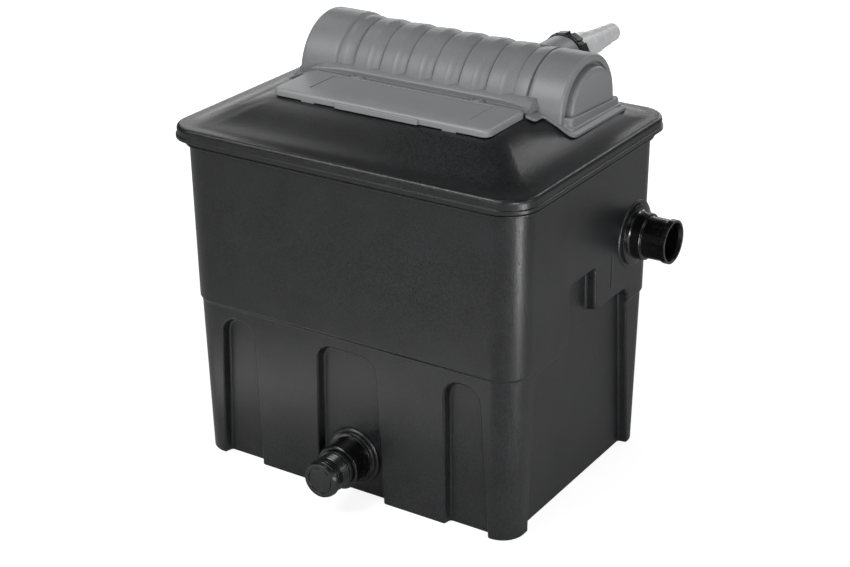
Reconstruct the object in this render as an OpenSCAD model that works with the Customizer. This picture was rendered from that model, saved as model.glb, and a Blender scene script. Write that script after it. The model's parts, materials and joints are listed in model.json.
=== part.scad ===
// Flow-through pond filter box with a lid-mounted UV clarifier.
// Millimetres, +Z up, X to the right, Y to the rear.
// The origin is the middle of the underside of the tank.

/* [Tank] */
// Tank width at the floor
base_w = 462; // [380:1:560]
// Tank depth at the floor
base_d = 331; // [260:1:420]
// Height of the step between the lower and the upper wall
step_z = 217; // [160:1:260]
// How far the lower wall stands inside the upper one
step_in = 2.6; // [1:0.1:6]
// Height of the top of the tank wall
tank_h = 427; // [340:1:480]
// Wall thickness of the moulded tank
wall = 4; // [3:0.1:6]
// Thickness of the tank floor
floor_t = 5; // [3:0.5:8]
// Vertical corner radius at the floor
corner_r = 30; // [20:1:45]
// Depth of the moulded recesses
recess_in = 11; // [6:0.5:14]
// Top of the front and rear recesses
recess_top = 201; // [150:1:210]
// Radius at the top corners of the recesses
recess_r = 24; // [10:1:26]

/* [Rim and lid] */
// How far the tank rim flange stands out of the wall
rim_out = 5; // [3:0.5:8]
// Height of the tank rim flange
rim_h = 7; // [4:0.5:12]
// Lid width
lid_w = 500; // [400:1:600]
// Lid depth
lid_d = 370; // [300:1:460]
// Height of the top of the lid's edge
lid_edge_z = 445; // [350:1:500]
// Height of the lid's raised middle
plateau_z = 475; // [360:1:540]
// Distance from the lid's edge to the raised middle
dome_run = 100; // [60:1:120]
// Lid wall thickness
lid_t = 3.5; // [2.5:0.1:5]
// Corner radius of the lid
lid_r = 38; // [26:1:60]
// Gap between the tank rim and the lid's edge band
lid_gap = 1.3; // [0.5:0.1:3]

/* [Clarifier cover] */
// Distance of the tunnel's middle line behind the centre of the tank
cover_y = 75; // [40:1:100]
// Height of the tunnel's middle line
cover_z = 468; // [440:1:500]
// Crest radius of the ribs
rib_r = 67.2; // [50:0.1:80]
// Radius at the bottom of the grooves
groove_r = 62.8; // [48:0.1:76]
// Radius of the smooth drum at the left end
drum_r = 70; // [52:0.5:84]
// Pitch of the ribs
rib_pitch = 38.1; // [25:0.1:50]
// X of the first groove
rib_start = -107; // [-130:1:-80]
// Number of full ribs
rib_count = 6; // [3:1:8]
// Inside radius of the tunnel
tunnel_r = 60.5; // [46:0.5:70]

/* [Flap] */
// Flap width
flap_w = 305; // [240:1:330]
// Y of the flap's front edge
flap_front = -94.5; // [-120:0.5:-60]
// Height of the flap's top
flap_top = 484.5; // [478:0.5:500]
// Radius of the hinge pins
pin_r = 2; // [1:0.1:3]
// Radial clearance of the hinge pins
pin_gap = 0.08; // [0.02:0.01:0.1]
// Distance of the hinges from the middle
hinge_x = 86; // [50:1:130]

/* [Outlet] */
// Y of the outlet's axis
out_y = 115; // [60:1:120]
// Height of the outlet's axis
out_z = 304; // [240:1:340]
// Outside radius of the outlet pipe
out_r = 26; // [18:0.5:32]
// Bore radius of the outlet pipe
out_bore = 23; // [15:0.5:29]
// X of the outlet's mouth
out_end = 292; // [270:1:340]
// Radius of the rim at the mouth
out_rim = 27.7; // [19:0.1:34]

/* [Drain] */
// Height of the drain's axis
drain_z = 50; // [42:1:90]
// Outside radius of the drain pipe
drain_r = 26; // [16:0.5:30]
// Bore radius of the drain pipe
drain_bore = 19.5; // [12:0.1:25]
// Y of the face of the drain pipe
drain_end = -193.5; // [-220:0.5:-180]
// Radial clearance of the plug in the drain pipe
plug_gap = 0.08; // [0.02:0.01:0.1]
// Radius of the plug's grip
grip_r = 24; // [18:0.5:28]

/* [Inlet] */
// X of the inlet's axis
in_x = 120; // [90:1:140]
// Height of the inlet's axis
in_z = 503.5; // [495:0.5:505]
// Y of the end of the inlet spigot
in_end = 138; // [130:1:150]
// Outside radius of the inlet spigot
in_r = 24; // [18:0.5:26]
// Radial clearance of the union nut on the spigot
nut_gap = 0.08; // [0.02:0.01:0.1]
// Outside radius of the union nut
nut_r = 32; // [26:0.5:36]
// Radius of the first hose step
tail_r1 = 20; // [16:0.5:24]
// Radius of the second hose step
tail_r2 = 16; // [12:0.5:19]
// Radius of the third hose step
tail_r3 = 12.5; // [8:0.5:15]
// Y of the tip of the hose tail
tail_end = 270; // [240:1:300]

/* [Lamp] */
// Outside radius of the clarifier tube
tube_r = 24.5; // [20:0.5:26]
// Outside radius of the quartz sleeve
sleeve_r = 16; // [12:0.5:18]
// Radius of each leg of the lamp
lamp_r = 5.6; // [4:0.1:7]

/* [Hidden] */
$fn = 64;
eps = 0.01;
k_low = 0.0215;
k_up = 0.0105;
cx = base_w / 2 - corner_r;
cy = base_d / 2 - corner_r;
low_w = base_w + 2 * k_low * step_z;
low_d = base_d + 2 * k_low * step_z;
up_w = low_w + 2 * step_in;
up_d = low_d + 2 * step_in;
up_h = tank_h - step_z;
rim_w = up_w + 2 * k_up * up_h;
rim_d = up_d + 2 * k_up * up_h;
chamfer_h = 3.5;
seal_z = tank_h;
band_z = tank_h + lid_gap;
band_t = 4;
dome_in = 12;
dome_low = lid_edge_z;
dome_h = plateau_z - dome_low;
dome_n = 12;
tube_y = cover_y;
tube_z = in_z;
cover_x0 = -184;
cover_x1 = 201.5;
flange_x0 = -207;
flange_x1 = 216;
foot_x0 = -193;
foot_in = 64;
hinge_y = -9;
hinge_z = 481;
lug_r = 4;
shelf_x = 158;
shelf_y = -4;
screw_x = [-174, 193];
screw_y = [cover_y - 45, cover_y + 45];
last_groove = rib_start + rib_count * rib_pitch;
out_face = 240.5;
drain_face = -160;
part_x = 125;
part_t = 4;

module rrect(w, d, r, h) {
  linear_extrude(height = h)
  union() {
    square([w - 2 * r, d], center = true);
    square([w, d - 2 * r], center = true);
    for (sx = [-1, 1], sy = [-1, 1])
      translate([sx * (w / 2 - r), sy * (d / 2 - r)]) circle(r);
  }
}

module plan_rrect(x0, x1, y0, y1, r, z0, z1) {
  translate([(x0 + x1) / 2, (y0 + y1) / 2, z0]) rrect(x1 - x0, y1 - y0, r, z1 - z0);
}

// Rounded box whose walls lean outwards by k per unit of height
module drafted(hw, hd, r, h, k) {
  a = hw - r;
  b = hd - r;
  translate([-a, 0, 0]) rotate([90, 0, 90]) linear_extrude(height = 2 * a)
    polygon([[-hd, 0], [hd, 0], [hd + k * h, h], [-hd - k * h, h]]);
  translate([0, b, 0]) rotate([90, 0, 0]) linear_extrude(height = 2 * b)
    polygon([[-hw, 0], [hw, 0], [hw + k * h, h], [-hw - k * h, h]]);
  for (sx = [-1, 1], sy = [-1, 1])
    translate([sx * a, sy * b, 0]) cylinder(h = h, r1 = r, r2 = r + k * h);
}

// Tall recess outline with round top corners, seen from the front
module arch2d(xb0, xb1, xt0, xt1, ztop, r, g) {
  polygon([[xb0 - g, -9], [xb1 + g, -9], [xt1 + g, ztop - r], [xt0 - g, ztop - r]]);
  for (x = [xt0 + r, xt1 - r])
    translate([x, ztop - r]) circle(r + g);
  translate([xt0 + r, ztop - r]) square([xt1 - xt0 - 2 * r, r + g]);
}

module front_outline(g) {
  arch2d(-51, 51, -45, 45, recess_top, recess_r, g);
  arch2d(135, 201, 137, 191, recess_top, recess_r, g);
  mirror([1, 0]) arch2d(135, 201, 137, 191, recess_top, recess_r, g);
}

module left_outline(g) {
  arch2d(-128, 128, -120, 120, recess_top, recess_r, g);
}

// Recess in the right wall, in the Y-Z plane
module right_outline(g) {
  polygon([[-128 - g, -9], [137 + g, -9], [107 + g, 226], [95, 238 + g], [20 + g, 240 + g],
           [16 + g, 298 + g], [-52 - g, 298 + g], [-52 - g, 216 + g], [-128 - g, 216 + g]]);
  translate([95.2, 226]) circle(12 + g);
}

// Everything outside a leaning plane, shift t inwards
module front_slab(t) {
  y0 = base_d / 2 - recess_in - t;
  translate([-300, 0, 0]) rotate([90, 0, 90]) linear_extrude(height = 600)
    polygon([[-y0 + 9 * k_low, -9], [-y0 - 320 * k_low, 320], [-260, 320], [-260, -9]]);
}

module side_slab(t) {
  x0 = base_w / 2 - recess_in - t;
  translate([0, 300, 0]) rotate([90, 0, 0]) linear_extrude(height = 600)
    polygon([[x0 - 9 * k_low, -9], [x0 + 320 * k_low, 320], [330, 320], [330, -9]]);
}

module front_pocket(g) {
  intersection() {
    front_slab(g);
    translate([0, 0, 0]) rotate([90, 0, 0]) linear_extrude(height = 250) front_outline(g);
  }
}

module right_pocket(g) {
  intersection() {
    side_slab(g);
    rotate([90, 0, 90]) linear_extrude(height = 320) right_outline(g);
  }
}

module left_pocket(g) {
  mirror([1, 0, 0]) intersection() {
    side_slab(g);
    rotate([90, 0, 90]) linear_extrude(height = 320) left_outline(g);
  }
}

module pockets(g) {
  front_pocket(g);
  mirror([0, 1, 0]) front_pocket(g);
  right_pocket(g);
  left_pocket(g);
}

module tank_outside() {
  drafted(base_w / 2, base_d / 2, corner_r, step_z - chamfer_h, k_low);
  translate([0, 0, step_z - chamfer_h])
    drafted(low_w / 2 - k_low * chamfer_h, low_d / 2 - k_low * chamfer_h,
            low_w / 2 - k_low * chamfer_h - cx, chamfer_h, k_low + step_in / chamfer_h);
  translate([0, 0, step_z]) drafted(up_w / 2, up_d / 2, up_w / 2 - cx, up_h, k_up);
  translate([0, 0, tank_h - rim_h])
    rrect(rim_w + 2 * rim_out, rim_d + 2 * rim_out, rim_w / 2 + rim_out - cx, rim_h);
}

module tank_inside() {
  translate([0, 0, floor_t])
    drafted(base_w / 2 - wall + k_low * floor_t, base_d / 2 - wall + k_low * floor_t,
            corner_r - wall + k_low * floor_t, step_z - floor_t, k_low);
  translate([0, 0, step_z])
    rrect(up_w - 2 * wall, up_d - 2 * wall, up_w / 2 - wall - cx, up_h + 1);
}

module guide_rib(x, s, from) {
  translate([x, s > 0 ? from : -163, floor_t - 1]) cube([3, 163 - from, 330]);
}

module tank() {
  color("#232425") difference() {
    union() {
      difference() {
        union() {
          difference() {
            tank_outside();
            pockets(0);
          }
          translate([224, out_y, out_z]) rotate([0, 90, 0])
            cylinder(h = out_face - 224 - 1.5, r = 44);
          translate([out_face - 1.5, out_y, out_z]) rotate([0, 90, 0])
            cylinder(h = 1.5, r1 = 44, r2 = 42.5);
          translate([0, -153, drain_z]) rotate([90, 0, 0])
            cylinder(h = -drain_face - 153 - 1.5, r = 38);
          translate([0, drain_face + 1.5, drain_z]) rotate([90, 0, 0])
            cylinder(h = 1.5, r1 = 38, r2 = 36.5);
        }
        difference() {
          tank_inside();
          pockets(wall);
        }
      }
      for (sy = [-1, 1]) {
        guide_rib(part_x - part_t / 2 - 3.3, sy, 150);
        guide_rib(part_x + part_t / 2 + 0.3, sy, 150);
        guide_rib(40.7, sy, 143);
      }
      translate([231, out_y, out_z]) rotate([0, 90, 0]) cylinder(h = 6.5, r = 38);
      translate([0, -148.5, drain_z]) rotate([90, 0, 0]) cylinder(h = 5, r = 36);
    }
    translate([230, out_y, out_z]) rotate([0, 90, 0]) cylinder(h = 20, r = out_r + 0.5);
    translate([0, -140, drain_z]) rotate([90, 0, 0]) cylinder(h = 30, r = drain_r + 0.5);
    translate([236.5, 54, 253]) cube([6, 4, 45]);
  }
}

module lid_seal() {
  color("#151515") translate([0, 0, seal_z + 0.05]) difference() {
    rrect(rim_w + 6, rim_d + 6, rim_w / 2 + 3 - cx, 1.9);
    translate([0, 0, -1]) rrect(rim_w - 2, rim_d - 2, rim_w / 2 - 1 - cx, 4);
  }
}

// Height of the lid surface at a distance s inside the edge
function dome(s) = dome_low + dome_h *
  (1 - cos(180 * min(1, max(0, (s - dome_in) / (dome_run - dome_in))))) / 2;

module dome_outline(half, up, low) {
  polygon(concat(
    [[-half, low], [-half, dome_low + up]],
    [for (i = [0:dome_n]) let (s = dome_in + (dome_run - dome_in) * i / dome_n)
      [-half + s, dome(s) + up]],
    [for (i = [dome_n:-1:0]) let (s = dome_in + (dome_run - dome_in) * i / dome_n)
      [half - s, dome(s) + up]],
    [[half, dome_low + up], [half, low]]));
}

// Domed body whose top is the lid surface moved up by a distance
module dome_body(up, low) {
  intersection() {
    translate([0, lid_d / 2, 0]) rotate([90, 0, 0]) linear_extrude(height = lid_d)
      dome_outline(lid_w / 2, up, low);
    translate([-lid_w / 2, 0, 0]) rotate([90, 0, 90]) linear_extrude(height = lid_w)
      dome_outline(lid_d / 2, up, low);
  }
}

bay_x = 104;
bay_y0 = -84;
bay_y1 = -26;
bay_z = 446;
pad_z = plateau_z - lid_t - 6;

module lid() {
  color("#232425") difference() {
    union() {
      difference() {
        union() {
          translate([0, 0, band_z]) rrect(lid_w, lid_d, lid_r, lid_edge_z - 3 - band_z);
          translate([0, 0, lid_edge_z - 3]) drafted(lid_w / 2, lid_d / 2, lid_r, 3, -1);
          translate([0, 0, band_z]) rrect(lid_w + 3, lid_d + 3, lid_r + 1.5, 4.5);
          intersection() {
            dome_body(0, lid_edge_z - 4);
            translate([0, 0, 430])
              rrect(lid_w - 2 * dome_in, lid_d - 2 * dome_in, lid_r - dome_in, 60);
          }
        }
        translate([0, 0, band_z - 1])
          rrect(lid_w - 2 * band_t, lid_d - 2 * band_t, lid_r - band_t, lid_edge_z - 4 - band_z + 1);
        intersection() {
          dome_body(-lid_t, 400);
          rrect(lid_w - 40, lid_d - 40, lid_r - 20, 600);
        }
        translate([0, 0, lid_edge_z - 1.5]) difference() {
          rrect(lid_w - 19, lid_d - 19, lid_r - 9.5, 3);
          translate([0, 0, -1]) rrect(lid_w - 23, lid_d - 23, lid_r - 11.5, 5);
        }
      }
      translate([0, 0, 412]) difference() {
        rrect(up_w - 2 * wall - 2, up_d - 2 * wall - 2, up_w / 2 - wall - 1 - cx, 30);
        translate([0, 0, -1])
          rrect(up_w - 2 * wall - 8, up_d - 2 * wall - 8, up_w / 2 - wall - 4 - cx, 32);
      }
      translate([0, 0, band_z + 0.75]) difference() {
        rrect(rim_w + 6, rim_d + 6, rim_w / 2 + 3 - cx, 13);
        translate([0, 0, -1]) rrect(rim_w - 2, rim_d - 2, rim_w / 2 - 1 - cx, 15);
      }
      plan_rrect(-bay_x - 3, bay_x + 3, bay_y0 - 3, bay_y1 + 3, 9, bay_z - 3, plateau_z - 2);
      translate([-120, tube_y, pad_z]) cylinder(h = 8, r = 29);
      for (x = screw_x, y = screw_y)
        intersection() {
          dome_body(-1, 430);
          translate([x, y, 446]) cylinder(h = 30, r = 7);
        }
    }
    plan_rrect(-bay_x, bay_x, bay_y0, bay_y1, 6, bay_z, 500);
    translate([-120, tube_y, 440]) cylinder(h = 60, r = 20.6);
    for (x = screw_x, y = screw_y)
      translate([x, y, 430]) cylinder(h = 60, r = 2.6, $fn = 24);
    for (x = [-100, 100])
      translate([x - 11, flap_front - 2, plateau_z - 3.2]) cube([22, 5, 6]);
    translate([62, bay_y1 - 2, plateau_z - 2.4]) cube([9, 44, 6]);
  }
}

// Tunnel outline: [x, radius] points from the left end to the right end
function rib_pts(x) = [[x, groove_r], [x + 1.2, rib_r - 2.2], [x + 12, rib_r - 0.8],
  [x + 23, rib_r], [x + 27, rib_r - 0.2], [x + 32, rib_r - 1.6], [x + 36.6, groove_r + 0.7]];

tunnel_pts = concat(
  [[cover_x0, drum_r - 10], [cover_x0 + 2.5, drum_r - 4], [cover_x0 + 7, drum_r - 0.7],
   [cover_x0 + 12, drum_r], [-133.5, drum_r], [-130.8, drum_r - 0.9], [-129, rib_r - 0.4],
   [-126, rib_r - 0.2], [-121, rib_r], [-117, rib_r - 0.9], [-111, rib_r - 2.9]],
  [for (i = [0:rib_count - 1], p = rib_pts(rib_start + i * rib_pitch)) p],
  [[last_groove, groove_r], [last_groove + 1.2, rib_r - 2.2], [last_groove + 18, rib_r - 0.4],
   [last_groove + 19.6, groove_r + 0.9], [last_groove + 21.2, rib_r - 1.2],
   [last_groove + 26, rib_r], [180, rib_r], [186, rib_r - 1], [190.5, rib_r - 4.2],
   [193, rib_r - 9.5], [194, rib_r - 16.5], [192.5, rib_r - 17.7]]);

boss_r = rib_r - 17.7;
boss_pts = [[192.5, boss_r], [198, boss_r - 0.8], [200.5, boss_r - 3], [cover_x1, boss_r - 6.5]];

all_pts = concat(tunnel_pts, [for (i = [1:3]) boss_pts[i]]);
pts_n = len(all_pts);

module tunnel_half(p, x0, x1) {
  translate([0, cover_y, cover_z]) rotate([0, 90, 0]) rotate([0, 0, 90])
    rotate_extrude(angle = 180)
      polygon(concat([[0, x0]], [for (q = p) [q[1], q[0]]], [[0, x1]]));
}

module tunnel_foot(p, x0, x1, low) {
  translate([0, cover_y, low]) linear_extrude(height = cover_z - low)
    polygon(concat([for (q = p) [q[0], q[1]]],
                   [for (i = [len(p) - 1:-1:0]) [p[i][0], -p[i][1]]]));
}

module tunnel_solid() {
  tunnel_half(all_pts, cover_x0, cover_x1);
  tunnel_foot(all_pts, cover_x0, cover_x1, 440);
}

in_pts = [[cover_x0 + 3.5, tunnel_r - 6], [cover_x0 + 9, tunnel_r], [184, tunnel_r],
          [190, tunnel_r - 12], [198, tunnel_r - 15]];

module tunnel_hollow() {
  tunnel_half(in_pts, cover_x0 + 3.5, 198);
  tunnel_foot(in_pts, cover_x0 + 3.5, 198, 430);
}

module shelf_block(t) {
  intersection() {
    translate([-shelf_x, 0, 0]) rotate([90, 0, 90]) linear_extrude(height = 2 * shelf_x)
      polygon([[-6, 440], [-6, 485.1 - t], [shelf_y + 1, 485.5 - t], [15, 494 - t],
               [40, 494 - t], [40, 440]]);
    plan_rrect(-shelf_x + t, shelf_x - t, shelf_y + t, 90, 10 - t, 430, 520);
  }
}

module hinge_lug(x, w) {
  translate([x, hinge_y, hinge_z]) rotate([0, 90, 0]) cylinder(h = w, r = lug_r, $fn = 32);
  translate([x, hinge_y, hinge_z - 3]) cube([w, 6, 6]);
}

module cover_posts(r, top, n) {
  for (x = screw_x, y = screw_y)
    translate([x, y, 430]) cylinder(h = top - 430, r = r, $fn = n);
}

module cover_hollow() {
  tunnel_hollow();
  plan_rrect(153.5, cover_x1 - 3, cover_y - foot_in + 3, cover_y + foot_in - 3, 6, 430, 472);
  plan_rrect(foot_x0 + 3, -153.5, cover_y - foot_in + 3, cover_y + foot_in - 3, 6, 430, 472);
}

module uv_cover() {
  color("#87888a") difference() {
    union() {
      tunnel_solid();
      shelf_block(0);
      plan_rrect(150, cover_x1, cover_y - foot_in, cover_y + foot_in, 9, 440, 475);
      plan_rrect(foot_x0, -150, cover_y - foot_in, cover_y + foot_in, 9, 440, 475);
      intersection() {
        dome_body(4.2, 440);
        union() {
          plan_rrect(flange_x0, flange_x1, 4, 146, 11, 440, 500);
          difference() {
            plan_rrect(-168, 168, -14, 30, 6.5, 440, 500);
            plan_rrect(-flap_w / 2 - 0.7, flap_w / 2 + 0.7, -30, shelf_y + 0.1, 1, 430, 510);
          }
        }
      }
      translate([in_x, cover_y + 18, in_z]) rotate([-90, 0, 0]) cylinder(h = 35, r = 29);
      translate([-150, cover_y + 55, 487]) rotate([-90, 0, 0]) cylinder(h = 15, r = 13);
      for (s = [-1, 1]) {
        hinge_lug(s * hinge_x - 9.3, 5);
        hinge_lug(s * hinge_x + 4.3, 5);
      }
    }
    difference() {
      cover_hollow();
      cover_posts(7.5, 478, 48);
      translate([in_x, cover_y + 49, in_z]) rotate([-90, 0, 0]) cylinder(h = 40, r = nut_r + 4.2);
      translate([-150, cover_y + 55, 487]) rotate([-90, 0, 0]) cylinder(h = 15, r = 13);
    }
    intersection() {
      shelf_block(3);
      translate([-200, -1, 430]) cube([400, 26, 100]);
    }
    dome_body(0.25, 400);
    translate([in_x, cover_y, in_z]) rotate([-90, 0, 0]) cylinder(h = 60, r = in_r + 0.5);
    translate([in_x, cover_y + 53.6, in_z]) rotate([-90, 0, 0]) cylinder(h = 40, r = nut_r + 1.6);
    for (s = [-1, 1])
      translate([s * hinge_x - 10, hinge_y, hinge_z]) rotate([0, 90, 0])
        cylinder(h = 20, r = pin_r, $fn = 32);
    cover_posts(1.9, 475, 24);
    translate([-150, cover_y, 487]) rotate([-90, 0, 0]) cylinder(h = 90, r = 8.2, $fn = 32);
  }
}

module cover_screws() {
  color("#9a9c9e") for (x = screw_x, y = screw_y) {
    translate([x, y, 446 - 3.1]) cylinder(h = 3, r = 5, $fn = 24);
    translate([x, y, 446 - 0.2]) cylinder(h = 27, r = 1.85, $fn = 20);
  }
}

module flap_body() {
  z1 = flap_top;
  z0 = 475.4;
  y0 = flap_front;
  w = flap_w / 2;
  intersection() {
    plan_rrect(-w, w, y0, -7, 10, 470, 500);
    translate([-w, 0, 0]) rotate([90, 0, 90]) linear_extrude(height = flap_w)
      polygon([[y0, z0], [-8.4, z0], [-7, z0 + 2], [-7, z1], [y0 + 4.4, z1],
               [y0 + 2.4, z1 - 0.4], [y0 + 0.8, z1 - 1.5], [y0, z1 - 3.4]]);
    translate([0, 0, 0]) rotate([90, 0, 0]) linear_extrude(height = 100)
      polygon([[-w, z0], [w, z0], [w, z1 - 3], [w - 0.9, z1 - 1.2], [w - 3, z1],
               [-w + 3, z1], [-w + 0.9, z1 - 1.2], [-w, z1 - 3]]);
  }
}

module access_flap() {
  z0 = 475.4;
  y0 = flap_front;
  color("#87888a") difference() {
    union() {
      difference() {
        union() {
          flap_body();
          plan_rrect(-60, 60, y0 - 2.2, y0 + 12, 2, z0, z0 + 5.6);
          for (x = [-100, 100])
            translate([x - 9.5, y0 + 0.2, 473.2]) cube([19, 1.8, 5]);
        }
        plan_rrect(-flap_w / 2 + 2.5, flap_w / 2 - 2.5, y0 + 3, -9.5, 5, 460, flap_top - 2.5);
        for (s = [-1, 1])
          translate([s * hinge_x - 9.9, hinge_y - 4.4, 460]) cube([19.8, 20, 40]);
      }
      for (s = [-1, 1]) {
        translate([s * hinge_x - 4, hinge_y, hinge_z]) rotate([0, 90, 0])
          cylinder(h = 8, r = lug_r, $fn = 32);
        translate([s * hinge_x - 4, hinge_y - 6, hinge_z - 1]) cube([8, 6, 4.3]);
      }
    }
    for (s = [-1, 1])
      translate([s * hinge_x - 10, hinge_y, hinge_z]) rotate([0, 90, 0])
        cylinder(h = 20, r = pin_r + pin_gap, $fn = 32);
    plan_rrect(-113, 113, -71, -16, 3, flap_top - 1.1, flap_top + 5);
  }
}

module flap_panel() {
  color("#8b8c8e") plan_rrect(-112.7, 112.7, -70.7, -16.3, 2.7, flap_top - 1.08, flap_top - 0.3);
}

module hinge_pins() {
  color("#b4b6b8") for (s = [-1, 1])
    translate([s * hinge_x - 9.3, hinge_y, hinge_z]) rotate([0, 90, 0])
      cylinder(h = 18.6, r = pin_r, $fn = 32);
}

module ballast_box() {
  color("#2b2c2e") difference() {
    plan_rrect(-82, 82, bay_y0 + 4, bay_y1 - 4, 4, bay_z + 0.05, bay_z + 20);
    plan_rrect(-79, 79, bay_y0 + 7, bay_y1 - 7, 2, bay_z + 3, bay_z + 40);
    translate([76, -55, bay_z + 11]) rotate([0, 90, 0]) cylinder(h = 10, r = 4.4, $fn = 24);
  }
}

module ballast_lid() {
  color("#3a3b3d") union() {
    plan_rrect(-82, 82, bay_y0 + 4, bay_y1 - 4, 4, bay_z + 20.05, bay_z + 23);
    plan_rrect(-78.7, 78.7, bay_y0 + 7.3, bay_y1 - 7.3, 2, bay_z + 17.5, bay_z + 20.5);
  }
}

module ballast_core() {
  color("#7c6a4a") translate([-60, -70, bay_z + 3.1]) cube([96, 30, 12]);
}

module uv_tube() {
  color("#1c1d1e") difference() {
    union() {
      translate([-152, tube_y, tube_z]) rotate([0, 90, 0]) cylinder(h = 300, r = tube_r);
      translate([in_x, tube_y, in_z]) rotate([-90, 0, 0]) cylinder(h = in_end - tube_y, r = in_r);
      translate([-120, tube_y, 446]) cylinder(h = tube_z - 446, r = 20);
      translate([-120, tube_y, plateau_z + 0.3]) cylinder(h = 3, r = 26);
      for (x = [-60, 60])
        translate([x - 5, tube_y - 15, plateau_z + 0.2]) cube([10, 30, 14]);
    }
    translate([-148, tube_y, tube_z]) rotate([0, 90, 0]) cylinder(h = 302, r = tube_r - 3);
    translate([in_x, tube_y, in_z]) rotate([-90, 0, 0]) cylinder(h = 90, r = in_r - 5.5);
    translate([-120, tube_y, 440]) cylinder(h = tube_z - 440, r = 17);
  }
}

module discharge_nut() {
  color("#1c1d1e") difference() {
    translate([-120, tube_y, pad_z - 11.1]) cylinder(h = 9, r = 27, $fn = 8);
    translate([-120, tube_y, 440]) cylinder(h = 40, r = 20.1);
  }
}

module discharge_seal() {
  color("#151515") difference() {
    translate([-120, tube_y, pad_z - 2.05]) cylinder(h = 2, r = 24.5);
    translate([-120, tube_y, 440]) cylinder(h = 60, r = 20.3);
  }
}

module lamp_holder() {
  color("#2b2c2e") difference() {
    union() {
      translate([148.1, tube_y, tube_z]) rotate([0, 90, 0]) cylinder(h = 24, r = tube_r - 0.3);
      translate([143, tube_y, tube_z]) rotate([0, 90, 0]) cylinder(h = 6, r = tube_r - 3.1);
    }
    translate([140, tube_y, tube_z]) rotate([0, 90, 0]) cylinder(h = 26, r = sleeve_r + 0.1);
    translate([160, tube_y, tube_z]) rotate([0, 90, 0]) cylinder(h = 20, r = 4, $fn = 24);
  }
}

module quartz_sleeve() {
  color("#d8e6ea") difference() {
    union() {
      translate([-118, tube_y, tube_z]) rotate([0, 90, 0]) cylinder(h = 283, r = sleeve_r);
      translate([-118, tube_y, tube_z]) sphere(sleeve_r, $fn = 48);
    }
    translate([-118, tube_y, tube_z]) rotate([0, 90, 0]) cylinder(h = 300, r = sleeve_r - 1.6);
    translate([-118, tube_y, tube_z]) sphere(sleeve_r - 1.6, $fn = 48);
  }
}

module sleeve_seal() {
  color("#151515") translate([140.5, tube_y, tube_z]) rotate([0, 90, 0]) rotate_extrude()
    translate([(sleeve_r + tube_r - 3) / 2, 0])
      square([tube_r - 3 - sleeve_r - 0.16, 2.3], center = true);
}

module uv_lamp() {
  color("#f1f3f4") union() {
    for (s = [-1, 1])
      translate([-100, tube_y + s * 7.2, tube_z]) rotate([0, 90, 0])
        cylinder(h = 220, r = lamp_r, $fn = 32);
    translate([-100, tube_y - 7.2, tube_z - 3]) cube([6, 14.4, 6]);
  }
}

module lamp_base() {
  color("#e6e2d8") translate([120.05, tube_y, tube_z]) rotate([0, 90, 0])
    cylinder(h = 45.8, r = 14.2, $fn = 40);
}

module cable_gland() {
  color("#2b2c2e") difference() {
    union() {
      translate([-150, cover_y + 52, 487]) rotate([-90, 0, 0]) cylinder(h = 20, r = 8, $fn = 32);
      translate([-150, cover_y + 70.1, 487]) rotate([-90, 0, 0]) cylinder(h = 5, r = 11, $fn = 6);
      translate([-150, cover_y + 75, 487]) rotate([-90, 0, 0])
        cylinder(h = 8, r1 = 9.3, r2 = 7.5, $fn = 32);
    }
    translate([-150, cover_y + 50, 487]) rotate([-90, 0, 0]) cylinder(h = 60, r = 4, $fn = 32);
  }
}

module union_nut() {
  color("#2a2b2d") difference() {
    union() {
      translate([in_x, 0, in_z]) rotate([-90, 0, 0]) rotate_extrude()
        polygon([[10, 129.2], [nut_r - 3, 129.2], [nut_r - 2.2, 130], [nut_r - 2.2, 131.6],
                 [nut_r - 1.6, 132.2], [nut_r - 1.6, 147.2], [nut_r - 4, 150.2], [10, 150.2]]);
      for (a = [0:45:359])
        translate([in_x, 132.8, in_z]) rotate([-90, 0, 0]) rotate([0, 0, a])
          translate([nut_r - 6, -5, 0]) cube([6, 10, 13.6]);
    }
    translate([in_x, 128, in_z]) rotate([-90, 0, 0]) cylinder(h = 18.2, r = in_r + nut_gap);
    translate([in_x, 120, in_z]) rotate([-90, 0, 0]) cylinder(h = 40, r = 18.4);
  }
}

module tail_seal() {
  color("#151515") difference() {
    translate([in_x, in_end + 0.1, in_z]) rotate([-90, 0, 0]) cylinder(h = 2.4, r = 22.5);
    translate([in_x, in_end - 1, in_z]) rotate([-90, 0, 0]) cylinder(h = 6, r = 17.5);
  }
}

module hose_tail() {
  y1 = 150.4;
  y2 = 200;
  y3 = 236;
  color("#dfe2e3") translate([in_x, 0, in_z]) rotate([-90, 0, 0]) rotate_extrude()
    polygon([[16.5, 140.6], [23.4, 140.6], [23.4, 146], [18.2, 146], [18.2, y1],
             [tail_r1 - 0.6, y1 + 0.2], [tail_r1, y1 + 3], [tail_r1, y1 + 22],
             [tail_r1 - 2.2, y2 - 2], [tail_r2 + 0.2, y2], [tail_r2, y2 + 16],
             [tail_r2 - 1.8, y3 - 2], [tail_r3 + 0.4, y3], [tail_r3, y3 + 2],
             [tail_r3, y3 + 26], [tail_r3 - 0.8, tail_end],
             [tail_r3 - 3.2, tail_end], [tail_r3 - 3.2, y3 - 4], [tail_r2 - 4.4, y3 - 8],
             [tail_r2 - 3.4, y2 - 3], [tail_r1 - 5, y2 - 8], [tail_r1 - 4, y1 + 4],
             [14.5, y1], [14.5, 142]]);
}

module outlet_seal() {
  color("#151515") difference() {
    translate([out_face + 0.05, out_y, out_z]) rotate([0, 90, 0]) cylinder(h = 1.5, r = 38.5);
    translate([out_face - 1, out_y, out_z]) rotate([0, 90, 0]) cylinder(h = 5, r = out_r + 0.2);
  }
}

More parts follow.
